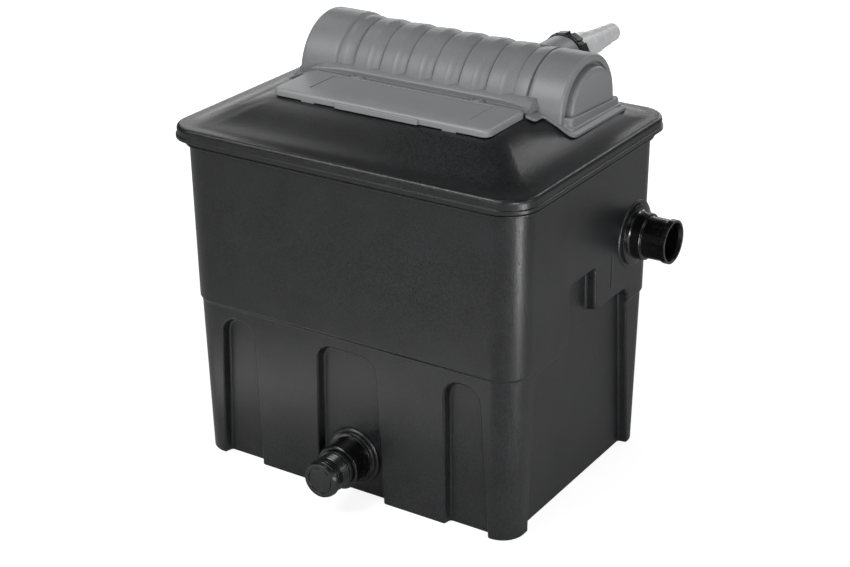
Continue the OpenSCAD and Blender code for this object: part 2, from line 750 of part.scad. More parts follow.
module outlet_fitting() {
  f = out_face + 1.6;
  color("#141516") translate([0, out_y, out_z]) rotate([0, 90, 0]) rotate_extrude()
    polygon([[out_bore, 208], [out_r, 208], [out_r, f], [39.5, f], [40, f + 0.5], [40, f + 1.6],
             [35, f + 3.2], [34.4, f + 3.4], [33.8, f + 5], [31.6, f + 5.6], [31.2, 256],
             [30.2, 257.2], [out_r, 257.6], [out_r, out_end - 9], [out_rim - 0.4, out_end - 7.4],
             [out_rim, out_end - 6.8], [out_rim, out_end - 1], [out_rim - 1, out_end],
             [out_bore + 2.2, out_end], [out_bore, out_end - 6]]);
}

module outlet_nut() {
  color("#1c1d1e") difference() {
    translate([218.9, out_y, out_z]) rotate([0, 90, 0]) cylinder(h = 12, r = 35, $fn = 8);
    translate([210, out_y, out_z]) rotate([0, 90, 0]) cylinder(h = 40, r = out_r + 0.1);
  }
}

module outlet_screen() {
  color("#2b2c2e") difference() {
    union() {
      translate([134, out_y, out_z]) rotate([0, 90, 0]) cylinder(h = 73.9, r = out_r - 0.5);
      translate([200, out_y, out_z]) rotate([0, 90, 0]) cylinder(h = 16, r = out_bore - 0.1);
    }
    translate([137, out_y, out_z]) rotate([0, 90, 0]) cylinder(h = 100, r = out_bore - 2.2);
    for (x = [143:12:191], a = [0, 90])
      translate([x, out_y, out_z]) rotate([a, 0, 0])
        translate([0, -40, -12]) cube([6, 80, 24]);
  }
}

module drain_seal() {
  color("#151515") difference() {
    translate([0, -148.45, drain_z]) rotate([-90, 0, 0]) cylinder(h = 1.5, r = 33);
    translate([0, -150, drain_z]) rotate([-90, 0, 0]) cylinder(h = 5, r = drain_r + 0.2);
  }
}

module drain_fitting() {
  e = -drain_end;
  color("#141516") translate([0, 0, drain_z]) rotate([90, 0, 0]) rotate_extrude()
    polygon([[drain_bore, 134], [drain_r, 134], [drain_r, -drain_face + 0.1],
             [drain_r + 3, -drain_face + 0.1], [drain_r + 3, -drain_face + 2],
             [drain_r + 0.8, -drain_face + 3], [drain_r, -drain_face + 4.2],
             [drain_r, e - 6], [drain_r + 1.6, e - 5.6], [drain_r + 2, e - 5],
             [drain_r + 2, e - 1.2], [drain_r + 0.8, e], [drain_bore, e]]);
}

module drain_nut() {
  color("#1c1d1e") difference() {
    translate([0, -146.9, drain_z]) rotate([-90, 0, 0]) cylinder(h = 10, r = 35, $fn = 8);
    translate([0, -150, drain_z]) rotate([-90, 0, 0]) cylinder(h = 20, r = drain_r + 0.1);
  }
}

module plug_seal() {
  color("#151515") difference() {
    translate([0, drain_end - 0.1, drain_z]) rotate([90, 0, 0]) cylinder(h = 1.8, r = 23.2);
    translate([0, drain_end + 1, drain_z]) rotate([90, 0, 0])
      cylinder(h = 6, r = drain_bore + 0.1);
  }
}

module drain_plug() {
  s = -drain_end + 2;
  e = s + 35;
  color("#17181a") difference() {
    translate([0, 0, drain_z]) rotate([90, 0, 0]) rotate_extrude()
      polygon([[0, s - 18], [drain_bore - 1.6, s - 18], [drain_bore - plug_gap, s - 16.6],
               [drain_bore - plug_gap, s], [grip_r, s], [grip_r + 0.6, s + 0.8],
               [grip_r + 0.6, s + 2.2],
               [grip_r - 0.8, s + 2.8], [grip_r - 0.8, s + 22], [grip_r + 1, s + 22.8],
               [grip_r + 1, s + 24.8], [grip_r - 0.6, s + 25.4], [grip_r - 0.6, s + 26.8],
               [grip_r + 1.6, s + 27.6], [grip_r + 1.6, s + 31.5], [grip_r - 0.4, e],
               [16.6, e], [16.6, e - 1.4], [15.2, e - 1.4], [15.2, e - 0.4], [0, e - 0.4]]);
    for (a = [215, 265])
      translate([0, -e + 1.6, drain_z]) rotate([90, 0, 0]) rotate([0, 0, a])
        translate([15.9, -1.8, 0]) cube([3.2, 3.6, 4]);
    translate([0, -s - 3, drain_z]) rotate([90, 0, 0]) for (a = [0:15:359]) rotate([0, 0, a])
      translate([grip_r - 1.5, -0.9, 0]) cube([3, 1.8, 18.6]);
  }
}

module partition() {
  color("#2b2c2e") difference() {
    translate([part_x - part_t / 2, -158, floor_t + 0.1]) cube([part_t, 316, 355]);
    for (y = [-132:33:132])
      translate([part_x - 10, y - 10, 24]) cube([20, 20, 8]);
    for (y = [-132:33:132])
      translate([part_x - 10, y - 10, 44]) cube([20, 20, 8]);
    translate([part_x - 10, 72, 258]) cube([20, 60, 24]);
  }
}

module foam_frame() {
  color("#2b2c2e") difference() {
    translate([44, -149, floor_t + 0.1]) cube([2.5, 298, 335]);
    for (y = [-120:48:120], z = [40:60:300])
      translate([40, y - 19, z - 22]) cube([10, 38, 44]);
  }
}

module foam(x0, x1) {
  translate([x0, -148, floor_t + 0.2]) cube([x1 - x0, 296, 320]);
}

module foam_coarse() {
  color("#2b4f77") foam(46.8, 71.6);
}

module foam_medium() {
  color("#3f6f9d") foam(71.9, 96.9);
}

module foam_fine() {
  color("#1f2a33") foam(97.2, 122.6);
}

module media_basket() {
  color("#3b3d40") difference() {
    plan_rrect(133, 208, -140, 140, 8, floor_t + 0.2, 205);
    plan_rrect(135.5, 205.5, -137.5, 137.5, 6, floor_t + 3, 300);
    for (y = [-112:32:112], z = [40:40:160])
      translate([120, y - 10, z - 10]) cube([100, 20, 20]);
  }
}

module media_bag() {
  color("#c9b79a") plan_rrect(136.2, 204.8, -136.8, 136.8, 20, floor_t + 3.2, 150);
}

tank();
lid_seal();
lid();
uv_cover();
cover_screws();
access_flap();
flap_panel();
hinge_pins();
ballast_box();
ballast_lid();
ballast_core();
uv_tube();
discharge_nut();
discharge_seal();
lamp_holder();
quartz_sleeve();
sleeve_seal();
uv_lamp();
lamp_base();
cable_gland();
union_nut();
tail_seal();
hose_tail();
outlet_seal();
outlet_fitting();
outlet_nut();
outlet_screen();
drain_seal();
drain_fitting();
drain_nut();
plug_seal();
drain_plug();
partition();
foam_frame();
foam_coarse();
foam_medium();
foam_fine();
media_basket();
media_bag();
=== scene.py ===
import json
import math

import bmesh
import bpy
from mathutils import Matrix, Vector, noise
from mathutils.geometry import delaunay_2d_cdt


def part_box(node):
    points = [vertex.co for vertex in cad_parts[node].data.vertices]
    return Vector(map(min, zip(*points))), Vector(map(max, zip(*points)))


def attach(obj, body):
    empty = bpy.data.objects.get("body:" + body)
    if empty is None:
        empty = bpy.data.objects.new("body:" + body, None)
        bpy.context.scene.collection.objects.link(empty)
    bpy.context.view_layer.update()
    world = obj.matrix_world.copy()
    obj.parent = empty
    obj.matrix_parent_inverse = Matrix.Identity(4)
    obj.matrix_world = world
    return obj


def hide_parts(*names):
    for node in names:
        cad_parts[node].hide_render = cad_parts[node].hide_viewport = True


# Looks of a flow-through pond filter box: a black tank with a domed lid, a grey ribbed cover
# over the lamp, a service flap, a side outlet, a front drain and a stepped hose tail.
# Shapes are built in millimetres and scaled to metres when a mesh is made.

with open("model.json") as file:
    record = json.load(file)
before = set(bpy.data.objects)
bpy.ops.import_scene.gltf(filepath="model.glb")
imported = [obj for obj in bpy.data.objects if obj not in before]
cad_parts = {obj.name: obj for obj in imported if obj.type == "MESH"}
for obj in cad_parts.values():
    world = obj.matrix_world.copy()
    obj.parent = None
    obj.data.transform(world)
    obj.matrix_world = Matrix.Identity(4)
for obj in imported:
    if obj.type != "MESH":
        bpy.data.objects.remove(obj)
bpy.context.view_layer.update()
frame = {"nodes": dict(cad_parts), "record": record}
MM = 0.001

# ---------------------------------------------------------------- sizes, in millimetres

FLAT_X, FLAT_Y = 201.0, 135.5       # half width and half depth of the flat part of the walls
FOOT_R = 30.0                       # corner radius at the floor
DRAFT_LOW, DRAFT_UP = 0.0215, 0.0105
STEP_Z, STEP_IN, STEP_H = 217.0, 2.6, 3.5
TANK_H, WALL, FLOOR_T = 427.0, 4.0, 5.0
RIM_H, RIM_OUT = 7.0, 5.0
RECESS_IN, ARCH_TOP, ARCH_R = 11.0, 201.0, 24.0
FOOT_EDGE = 1.4                     # rounding under the feet
# Half width and half depth across the floors of the recesses, at the ground
SUNK_X, SUNK_Y = FLAT_X + FOOT_R - RECESS_IN, FLAT_Y + FOOT_R - RECESS_IN
RECESS_CLEAR = 0.8                  # how far a recess stays within the flat part of its wall
# Arches as left foot, right foot, left shoulder and right shoulder along the wall
ARCHES = ((-201, -135, -191, -137), (-51, 51, -45, 45), (135, 201, 137, 191))
LEFT_ARCH = (-128, 128, -120, 120)
SIDE_SLOT, SLOT_IN = (54, 58.4, 253, 298), 2.6
# Ribs that the partition and the foam frame slide between: x, near and far y, foot and top
GUIDE_RIBS = ((119.7, 150, 164, 4, 334), (127.3, 150, 164, 4, 334), (40.7, 143, 152.6, 4, 196),
              (40.7, 143, 164, 206, 334))
GUIDE_T = 3.0

LID_X, LID_Y, LID_R = 250.0, 185.0, 38.0
LID_LOW, LID_EDGE, LID_TOP = 428.3, 445.0, 475.0
DOME_IN, DOME_RUN, LID_T = 12.0, 100.0, 3.5
BAND_T = 4.0                        # thickness of the lid's upright band
BAY = (-104.0, 104.0, -84.0, -26.0)
BAY_Z = 446.0
DROP_X, DROP_R = -120.0, 20.6       # where the water falls from the clarifier through the lid
LIP_R = 49.0                        # corner of the lip inside the tank's rim, before it moves in

COVER_Y, COVER_Z = 75.0, 468.0
COVER_X0, END_X = -184.0, 198.0
RIB_R, GROOVE_R, DRUM_R = 67.2, 62.8, 70.0
RIB_START, RIB_PITCH, RIB_COUNT = -107.0, 38.1, 6
BOW_STEPS = 72                      # flat faces round the tunnel's half circle
FLANGE = (-207.0, 209.0, 6.0, 146.0)
FLANGE_LIFT = 2.2                   # dark gap under the flange
FOOT_BLOCKS = ((150, 201.8), (-193, -150))  # from x to x, right and left
BLOCK_FRONT, BLOCK_BACK, BLOCK_TOP, BLOCK_FALL = 13, 136, 475.6, 0.055
# Shelf between the flap and the ribs, and the ramp on it: its start, how far the start's ends
# come forward and how far back it rises
SHELF, SHELF_TOP, SHELF_LOW = (-153, 153, -4.6, 60), 484.4, 474
RAMP_Y, RAMP_BOW, RAMP_RUN = 7, 12, 17
RAMP_LOW, RAMP_RISE = 485.4, 8.4
GLAND_X, GLAND_Z = -150, 487        # cable gland in the rear of the cover

FLAP = (-152.5, 152.5, -94.5, -7.0)
FLAP_Z0, FLAP_TOP, FLAP_EDGE = 475.4, 484.5, 4.2
GRIP_X, GRIP_TOP, TAB_X = 59, 481.8, 100    # the flap's finger grip and its two tabs
PANEL = (-112.7, 112.7, -70.7, -16.3)
PANEL_GAP = 1.3                     # width and depth of the groove round the panel
HINGE_X, HINGE_Y, HINGE_Z, LUG_R = 86.0, -9.0, 481.0, 4.0
EAR_AT, EAR_T = (-9.3, 4.3), 5      # the cover's two ears on either side of a flap knuckle

OUT_Y, OUT_Z, OUT_FACE, OUT_END = 115.0, 304.0, 240.5, 292.0
OUT_R, OUT_BORE, OUT_RIM = 26.0, 23.0, 27.7
DRAIN_Z, DRAIN_FACE, DRAIN_END = 50.0, 160.0, 193.5
DRAIN_R, DRAIN_BORE = 28.0, 19.5
GRIP_R, GRIP_LINES = 22.8, 4        # the drain cap
IN_X, IN_Z = 120.0, 503.5
NUT_R, SPIGOT_R = 30.8, 24.0
NUT_LUGS = 10
TAIL_R = (20.0, 16.0, 14.0, 12.5)
TAIL_END, TAIL_T = 270.0, 3.2
SKIN_WAVE = 9                       # spacing of the unevenness of foam and net skins


# ---------------------------------------------------------------- paths and meshes

def arc(cx, cy, r, a0, a1, steps):
    """Points on a circle from angle a0 to a1, in degrees."""
    turn = [math.radians(a0 + (a1 - a0) * i / steps) for i in range(steps + 1)]
    return [(cx + r * math.cos(a), cy + r * math.sin(a)) for a in turn]


def round_box(x0, x1, y0, y1, r, steps=8):
    """Rounded rectangle, anticlockwise from the right end of its low side."""
    corners = [(x1 - r, y0 + r, -90), (x1 - r, y1 - r, 0), (x0 + r, y1 - r, 90), (x0 + r, y0 + r, 180)]
    return [p for cx, cy, a in corners for p in arc(cx, cy, r, a, a + 90, steps)]


def round_hole(cx, cy, r):
    """Circle of 48 points, for a hole through a wall."""
    return arc(cx, cy, r, 0, 352.5, 47)


def eased(points, radii, steps=4, closed=False):
    """The path with its corners rounded, each by no more than its shorter side allows."""
    out = []
    last = len(points) - 1
    for i, p in enumerate(points):
        r = radii[i] if isinstance(radii, (list, tuple)) else radii
        if r == 0 or (not closed and i in (0, last)):
            out.append(tuple(p))
            continue
        b = Vector(p)
        u = Vector(points[i - 1]) - b
        v = Vector(points[(i + 1) % len(points)]) - b
        bend = u.angle(v)
        if bend > math.radians(176):
            out.append(tuple(p))
            continue
        cut = min(r / math.tan(bend / 2), 0.48 * u.length, 0.48 * v.length)
        a, c = b + u.normalized() * cut, b + v.normalized() * cut
        for k in range(steps + 1):
            t = k / steps
            q = a * (1 - t) ** 2 + b * 2 * t * (1 - t) + c * t * t
            out.append((q.x, q.y))
    return out


def inset(path, d, closed=True):
    """The path moved d to its left. The ends of an open one move level."""
    out = []
    n = len(path)
    for i, p in enumerate(path):
        if not closed and i in (0, n - 1):
            side = -1 if i == 0 else 1
            out.append((p[0] + side * d, p[1]))
            continue
        a, b, c = Vector(path[i - 1]), Vector(p), Vector(path[(i + 1) % n])
        e, f = (b - a).normalized(), (c - b).normalized()
        m, k = Vector((-e.y, e.x)), Vector((-f.y, f.x))
        move = (m + k) / max(0.2, 1 + m.dot(k))
        out.append((p[0] + d * move.x, p[1] + d * move.y))
    return out


def inside(p, path):
    """True if a point lies within a closed path."""
    hit = False
    for (x0, y0), (x1, y1) in zip(path, path[1:] + path[:1]):
        if (y0 > p[1]) != (y1 > p[1]) and p[0] < x0 + (p[1] - y0) * (x1 - x0) / (y1 - y0):
            hit = not hit
    return hit


def loft(bm, rings, closed=True, ends=(False, False)):
    """Faces between rings of as many points each, with or without a face on either end."""
    loops = [[bm.verts.new(p) for p in r] for r in rings]
    for a, b in zip(loops, loops[1:]):
        count = len(a)
        for i in range(count if closed else count - 1):
            j = (i + 1) % count
            bm.faces.new((a[i], a[j], b[j], b[i]))
    if ends[0]:
        bm.faces.new(loops[0][::-1])
    if ends[1]:
        bm.faces.new(loops[-1])


def lathe(bm, profile, place, sides=96, closed=True):
    """Turns (radius, distance) points about an axis. place(a, b, h) puts them in space."""
    rings = []
    for r, h in profile:
        turn = [2 * math.pi * i / sides for i in range(sides)]
        rings.append([place(r * math.cos(a), r * math.sin(a), h) for a in turn])
    loft(bm, rings + rings[:1] if closed else rings)


def fill(bm, border, place, holes=(), lines=(), spots=()):
    """Fills a flat outline with triangles round its holes and bends it with place(u, v)."""
    coords, edges = [], []
    for path, loop in [(border, True)] + [(h, True) for h in holes] + [(q, False) for q in lines]:
        start, count = len(coords), len(path)
        coords += [Vector(p) for p in path]
        edges += [(start + i, start + i + 1) for i in range(count - 1)]
        if loop:
            edges.append((start + count - 1, start))
    coords += [Vector(p) for p in spots]
    verts, _, faces, *_ = delaunay_2d_cdt(coords, edges, [], 0, 1e-4)
    made = {}
    for f in faces:
        mid = sum((verts[i] for i in f), Vector((0, 0))) / len(f)
        if inside(mid, border) and not any(inside(mid, h) for h in holes):
            for i in f:
                if i not in made:
                    made[i] = bm.verts.new(place(verts[i].x, verts[i].y))
            bm.faces.new([made[i] for i in f])


def grid_spots(path, pitch, margin):
    """Points of a square grid that lie within a path, clear of its edge."""
    inner = inset(path, margin)
    xs, ys = [p[0] for p in path], [p[1] for p in path]
    nx, ny = int((max(xs) - min(xs)) / pitch), int((max(ys) - min(ys)) / pitch)
    grid = [(min(xs) + (i + 0.5) * pitch, min(ys) + (j + 0.5) * pitch)
            for i in range(nx + 1) for j in range(ny + 1)]
    return [p for p in grid if inside(p, inner)]


def flat_ring(path, z):
    """The path as points at one height."""
    return [(x, y, z) for x, y in path]


def level(z):
    """A flat top or underside for a pad."""
    return lambda x, y: z


def pad(bm, outline, top, low, edge=1.0, pitch=0):
    """Closed slab with upright sides, a rounded upper edge and a top that follows top(x, y)."""
    rings = [[(x, y, low(x, y)) for x, y in outline]]
    for t in (0, 30, 60, 90):
        a = math.radians(t)
        path = inset(outline, edge * (1 - math.cos(a)))
        rings.append([(x, y, top(x, y) - edge * (1 - math.sin(a))) for x, y in path])
    loft(bm, rings)
    spots = grid_spots(outline, pitch, pitch * 0.4) if pitch else []
    fill(bm, inset(outline, edge), lambda x, y: (x, y, top(x, y)), spots=spots)
    fill(bm, outline, lambda x, y: (x, y, low(x, y)), spots=spots)


def block(bm, x0, x1, y0, y1, z0, z1, edge=0.6):
    """Box with its edges taken off."""
    outline = round_box(x0, x1, y0, y1, min(edge, (x1 - x0) / 3, (y1 - y0) / 3), 3)
    slim = min(edge, (x1 - x0) / 3, (y1 - y0) / 3, (z1 - z0) / 3)
    rings = []
    for z, d in ((z0, slim), (z0 + slim * 0.3, slim * 0.3), (z0 + slim, 0), (z1 - slim, 0),
                 (z1 - slim * 0.3, slim * 0.3), (z1, slim)):
        rings.append(flat_ring(inset(outline, d * 0.99), z))
    loft(bm, rings, ends=(True, True))


def new_mesh_object(name, bm):
    """Blender object from points in millimetres."""
    bmesh.ops.remove_doubles(bm, verts=bm.verts, dist=0.003)
    bmesh.ops.dissolve_degenerate(bm, dist=0.0005, edges=bm.edges)
    bmesh.ops.recalc_face_normals(bm, faces=bm.faces)
    bmesh.ops.scale(bm, vec=(MM, MM, MM), verts=bm.verts)
    mesh = bpy.data.meshes.new(name)
    bm.to_mesh(mesh)
    bm.free()
    obj = bpy.data.objects.new(name, mesh)
    bpy.context.collection.objects.link(obj)
    return obj


def turned(name, profile, radius, place, sides=96, closed=True):
    """Blender object turned about an axis from a profile whose corners have a radius."""
    bm = bmesh.new()
    lathe(bm, eased(profile, radius, 3, closed), place, sides, closed)
    return new_mesh_object(name, bm)


def reopened(obj):
    """A piece's mesh in millimetres again, so that more shapes can join it. The piece goes."""
    bm = bmesh.new()
    bm.from_mesh(obj.data)
    bmesh.ops.scale(bm, vec=(1 / MM, 1 / MM, 1 / MM), verts=bm.verts)
    bpy.data.objects.remove(obj)
    return bm


def carve(obj, *cutters):
    """Cuts closed shapes, given as bmeshes, out of an object for good."""
    for bm in cutters:
        cutter = new_mesh_object("cutter", bm)
        cut = obj.modifiers.new("cut", "BOOLEAN")
        cut.operation = "DIFFERENCE"
        cut.solver = "EXACT"
        cut.object = cutter
        solid = bpy.data.meshes.new_from_object(obj.evaluated_get(bpy.context.evaluated_depsgraph_get()))
        obj.modifiers.remove(cut)
        obj.data = solid
        bpy.data.objects.remove(cutter)
    return obj


def dress(obj, finish, slot, body, *nodes, crease=34):
    """Gives a piece its finish, shading and body, and the nodes that it stands for."""
    mesh = obj.data
    mesh.materials.clear()
    mesh.materials.append(finish)
    mesh.shade_smooth()
    mesh.set_sharp_from_angle(angle=math.radians(crease))
    weighted = obj.modifiers.new("weighted", "WEIGHTED_NORMAL")
    weighted.keep_sharp = True
    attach(obj, body)
    if nodes:
        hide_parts(*nodes)
    return obj


# ---------------------------------------------------------------- axes that round pieces turn about

def on_outlet_axis(a, b, h):
    """Along X, out of the right wall."""
    return (h, OUT_Y + a, OUT_Z + b)


def on_drain_axis(a, b, h):
    """Along -Y, out of the front recess."""
    return (a, -h, DRAIN_Z + b)


def on_inlet_axis(a, b, h):
    """Along Y, from the clarifier to the tip of the hose tail."""
    return (IN_X + a, h, IN_Z + b)


def on_hinge_axis(a, b, h):
    """Along X, through both hinge pins."""
    return (h, HINGE_Y + a, HINGE_Z + b)


def knuckle(bm, bore, x0, x1):
    """Round hinge ear between two places on the hinge's axis."""
    profile = [(bore, x0), (LUG_R, x0), (LUG_R, x1), (bore, x1)]
    lathe(bm, eased(profile, [0, 0.5, 0.5, 0], 3, True), on_hinge_axis, 32)


# ---------------------------------------------------------------- finishes

def linear(code):
    """sRGB hex colour as linear RGBA."""
    parts = [int(code[i:i + 2], 16) / 255 for i in (1, 3, 5)]
    return [c / 12.92 if c <= 0.04045 else ((c + 0.055) / 1.055) ** 2.4 for c in parts] + [1.0]


def add(tree, kind, values=None, links=None, **settings):
    """Adds one shader node with its socket values, its links and its settings."""
    made = tree.nodes.new("ShaderNode" + kind)
    for key, value in settings.items():
        setattr(made, key, value)
    for key, value in (values or {}).items():
        made.inputs[key].default_value = value
    for key, socket in (links or {}).items():
        tree.links.new(socket, made.inputs[key])
    return made


def blank(name):
    """A new material, its tree and its object coordinates in metres."""
    mat = bpy.data.materials.new(name)
    mat.use_nodes = True
    mat.node_tree.nodes.clear()
    place = add(mat.node_tree, "TexCoord")
    return mat, mat.node_tree, place.outputs["Object"]


def shaded(mat, values, links):
    """The material, ended by a shader with its constant values and the links that vary it."""
    shader = add(mat.node_tree, "BsdfPrincipled", values, links)
    add(mat.node_tree, "OutputMaterial", links={"Surface": shader.outputs[0]})
    return mat


def moulded(name, dark, pale, rough, grain_mm, grain_depth_mm, ior=1.49, bloom=0.06):
    """Injection-moulded plastic. A spark-eroded mould leaves an even fine grain, drawn as coarse
    as it needs to show, and the melt leaves faint cloudy patches where it is a touch paler."""
    mat, tree, spot = blank(name)
    cloud = add(tree, "TexNoise", {"Scale": 1 / (55 * MM), "Detail": 3.0, "Roughness": 0.6},
                {"Vector": spot})
    speck = add(tree, "TexNoise", {"Scale": 1 / (grain_mm * MM), "Detail": 2.0, "Roughness": 0.55},
                {"Vector": spot})
    patch = add(tree, "MapRange", {"From Min": 0.35, "From Max": 0.65, "To Min": 0.0, "To Max": 0.3},
                {"Value": cloud.outputs["Fac"]})
    fleck = add(tree, "MapRange", {"From Min": 0.35, "From Max": 0.65, "To Min": 0.0, "To Max": 0.7},
                {"Value": speck.outputs["Fac"]})
    tone = add(tree, "Math", links={0: patch.outputs[0], 1: fleck.outputs[0]}, operation="ADD")
    colour = add(tree, "Mix", {"A": linear(dark), "B": linear(pale)}, {"Factor": tone.outputs[0]},
                 data_type="RGBA")
    sheen = add(tree, "MapRange", {"From Min": 0.3, "From Max": 0.7, "To Min": rough - bloom,
                                   "To Max": rough + bloom}, {"Value": speck.outputs["Fac"]})
    bump = add(tree, "Bump", {"Strength": 1.0, "Distance": grain_depth_mm * MM},
               {"Height": speck.outputs["Fac"]})
    return shaded(mat, {"IOR": ior}, {"Base Color": colour.outputs["Result"],
                                      "Roughness": sheen.outputs[0], "Normal": bump.outputs[0]})


def polished(name, code, rough, ior=1.53):
    """PVC or rubber from a smooth mould, with a faint orange peel that also varies its shine."""
    mat, tree, spot = blank(name)
    peel = add(tree, "TexNoise", {"Scale": 1 / (4 * MM), "Detail": 2.0}, {"Vector": spot})
    marks = add(tree, "MapRange", {"From Min": 0.3, "From Max": 0.75, "To Min": rough * 0.8,
                                   "To Max": rough * 1.4}, {"Value": peel.outputs["Fac"]})
    bump = add(tree, "Bump", {"Strength": 1.0, "Distance": 0.01 * MM}, {"Height": peel.outputs["Fac"]})
    return shaded(mat, {"IOR": ior, "Base Color": linear(code)},
                  {"Roughness": marks.outputs[0], "Normal": bump.outputs[0]})


def milky_polyethylene():
    """Natural low-density polyethylene, moulded without pigment: milky, with light inside it."""
    mat, tree, spot = blank("milky_polyethylene")
    cloud = add(tree, "TexNoise", {"Scale": 1 / (20 * MM), "Detail": 2.0}, {"Vector": spot})
    colour = add(tree, "Mix", {"A": linear("#C0C2C3"), "B": linear("#D4D6D7")},
                 {"Factor": cloud.outputs["Fac"]}, data_type="RGBA")
    rough = add(tree, "MapRange", {"To Min": 0.3, "To Max": 0.42}, {"Value": cloud.outputs["Fac"]})
    return shaded(mat, {"IOR": 1.51, "Transmission Weight": 0.15, "Subsurface Weight": 0.3,
                        "Subsurface Scale": 3 * MM},
                  {"Base Color": colour.outputs["Result"], "Roughness": rough.outputs[0]})


def turned_steel():
    """Stainless steel, turned: bright, with uneven fine marks. They are a tenth of a millimetre
    apart on a real screw and are drawn four times as coarse, so that they show."""
    mat, tree, spot = blank("turned_steel")
    marks = add(tree, "TexNoise", {"Scale": 1 / (0.4 * MM), "Detail": 1.0}, {"Vector": spot})
    rough = add(tree, "MapRange", {"To Min": 0.22, "To Max": 0.4}, {"Value": marks.outputs["Fac"]})
    return shaded(mat, {"Metallic": 1.0, "Base Color": linear("#B9BBBD")}, {"Roughness": rough.outputs[0]})


def clear_glass(name, code, weight):
    """Drawn quartz or lamp glass: clear and fire-polished, with a faint uneven tint."""
    mat, tree, spot = blank(name)
    streak = add(tree, "TexNoise", {"Scale": 1 / (30 * MM)}, {"Vector": spot})
    tint = add(tree, "Mix", {"A": linear(code), "B": linear("#FFFFFF")}, {"Factor": streak.outputs["Fac"]},
               data_type="RGBA")
    rough = add(tree, "MapRange", {"To Min": 0.02, "To Max": 0.08}, {"Value": streak.outputs["Fac"]})
    return shaded(mat, {"IOR": 1.46, "Transmission Weight": weight},
                  {"Base Color": tint.outputs["Result"], "Roughness": rough.outputs[0]})


def open_cell_foam(name, dark, pale, cell_mm):
    """Reticulated polyurethane foam: a net of thin struts round dark open cells, fully dull."""
    mat, tree, spot = blank(name)
    cells = add(tree, "TexVoronoi", {"Scale": 1 / (cell_mm * MM)}, {"Vector": spot},
                feature="DISTANCE_TO_EDGE")
    strut = add(tree, "MapRange", {"From Min": 0.05, "From Max": 0.25, "To Min": 1.0, "To Max": 0.0},
                {"Value": cells.outputs["Distance"]})
    colour = add(tree, "Mix", {"A": linear(dark), "B": linear(pale)}, {"Factor": strut.outputs[0]},
                 data_type="RGBA")
    bump = add(tree, "Bump", {"Strength": 1.0, "Distance": cell_mm * 0.4 * MM}, {"Height": strut.outputs[0]})
    return shaded(mat, {"Roughness": 0.95},
                  {"Base Color": colour.outputs["Result"], "Normal": bump.outputs[0]})


def net_of_rings():
    """Net bag full of fired ceramic rings: chalky lumps under a fine pale mesh."""
    mat, tree, spot = blank("net_of_rings")
    lumps = add(tree, "TexVoronoi", {"Scale": 1 / (14 * MM)}, {"Vector": spot})
    tone = add(tree, "Mix", {"A": linear("#8E7D62"), "B": linear("#CDBE9F")},
               {"Factor": lumps.outputs["Distance"]}, data_type="RGBA")
    mesh = add(tree, "TexVoronoi", {"Scale": 1 / (3 * MM)}, {"Vector": spot}, feature="DISTANCE_TO_EDGE")
    thread = add(tree, "MapRange", {"From Min": 0.03, "From Max": 0.08, "To Min": 1.0, "To Max": 0.0},
                 {"Value": mesh.outputs["Distance"]})
    colour = add(tree, "Mix", {"B": linear("#E4E1D8")},
                 {"Factor": thread.outputs[0], "A": tone.outputs["Result"]}, data_type="RGBA")
    bump = add(tree, "Bump", {"Strength": 1.0, "Distance": 0.6 * MM}, {"Height": thread.outputs[0]})
    return shaded(mat, {"Roughness": 0.85},
                  {"Base Color": colour.outputs["Result"], "Normal": bump.outputs[0]})


# Black polypropylene, moulded: nearly black in the mass, greyed by a soft even sheen. Its grain is
# finer than a millimetre and is drawn at 1.9 mm, so that it shows.
BLACK_PP = moulded("black_polypropylene", "#020203", "#1E1F21", 0.36, 1.9, 0.19, bloom=0.08)
# Mid-grey ABS, moulded: opaque, with a flatter satin than the tank.
GREY_ABS = moulded("grey_abs", "#6F7072", "#7D7E80", 0.42, 1.2, 0.05, ior=1.5)
# The same ABS in a smoother moulding. Its paler colour is painted light: the flap and its plate are made
# paler than the cover to stand in for the brighter light on them.
GREY_ABS_PAINTED_PALER = moulded("grey_abs_painted_paler", "#838487", "#8B8C8E", 0.42, 0.7, 0.02, ior=1.5)
# Dark grey glass-filled polypropylene, moulded: the nut and the inner frames.
DARK_PP = moulded("dark_grey_polypropylene", "#08090A", "#0F1012", 0.36, 0.8, 0.04)
# Black PVC, moulded in a polished mould: deep black pipes with sharp reflections.
GLOSS_PVC = polished("black_pvc", "#060607", 0.22)
# The same PVC a touch greyer: the drain cap and the fittings inside the tank and the lid.
SATIN_PVC = polished("black_pvc_fittings", "#141516", 0.22)
# EPDM rubber, pressed: black and nearly dull.
RUBBER = polished("epdm_rubber", "#101010", 0.6)
MILKY = milky_polyethylene()
STEEL = turned_steel()
QUARTZ = clear_glass("drawn_quartz", "#E3EEF2", 0.9)
LAMP = clear_glass("lamp_glass", "#EEF2F4", 0.35)
# White ceramic, pressed and fired: pale and smooth, with the faintest grain.
CERAMIC = moulded("lamp_ceramic", "#DDD8CC", "#E5E0D5", 0.35, 0.5, 0.01)
# Brown casting resin, poured round the core: glossy, with low ripples.
POTTING = moulded("potting_resin", "#5E4B2E", "#6D5836", 0.3, 2.5, 0.1)
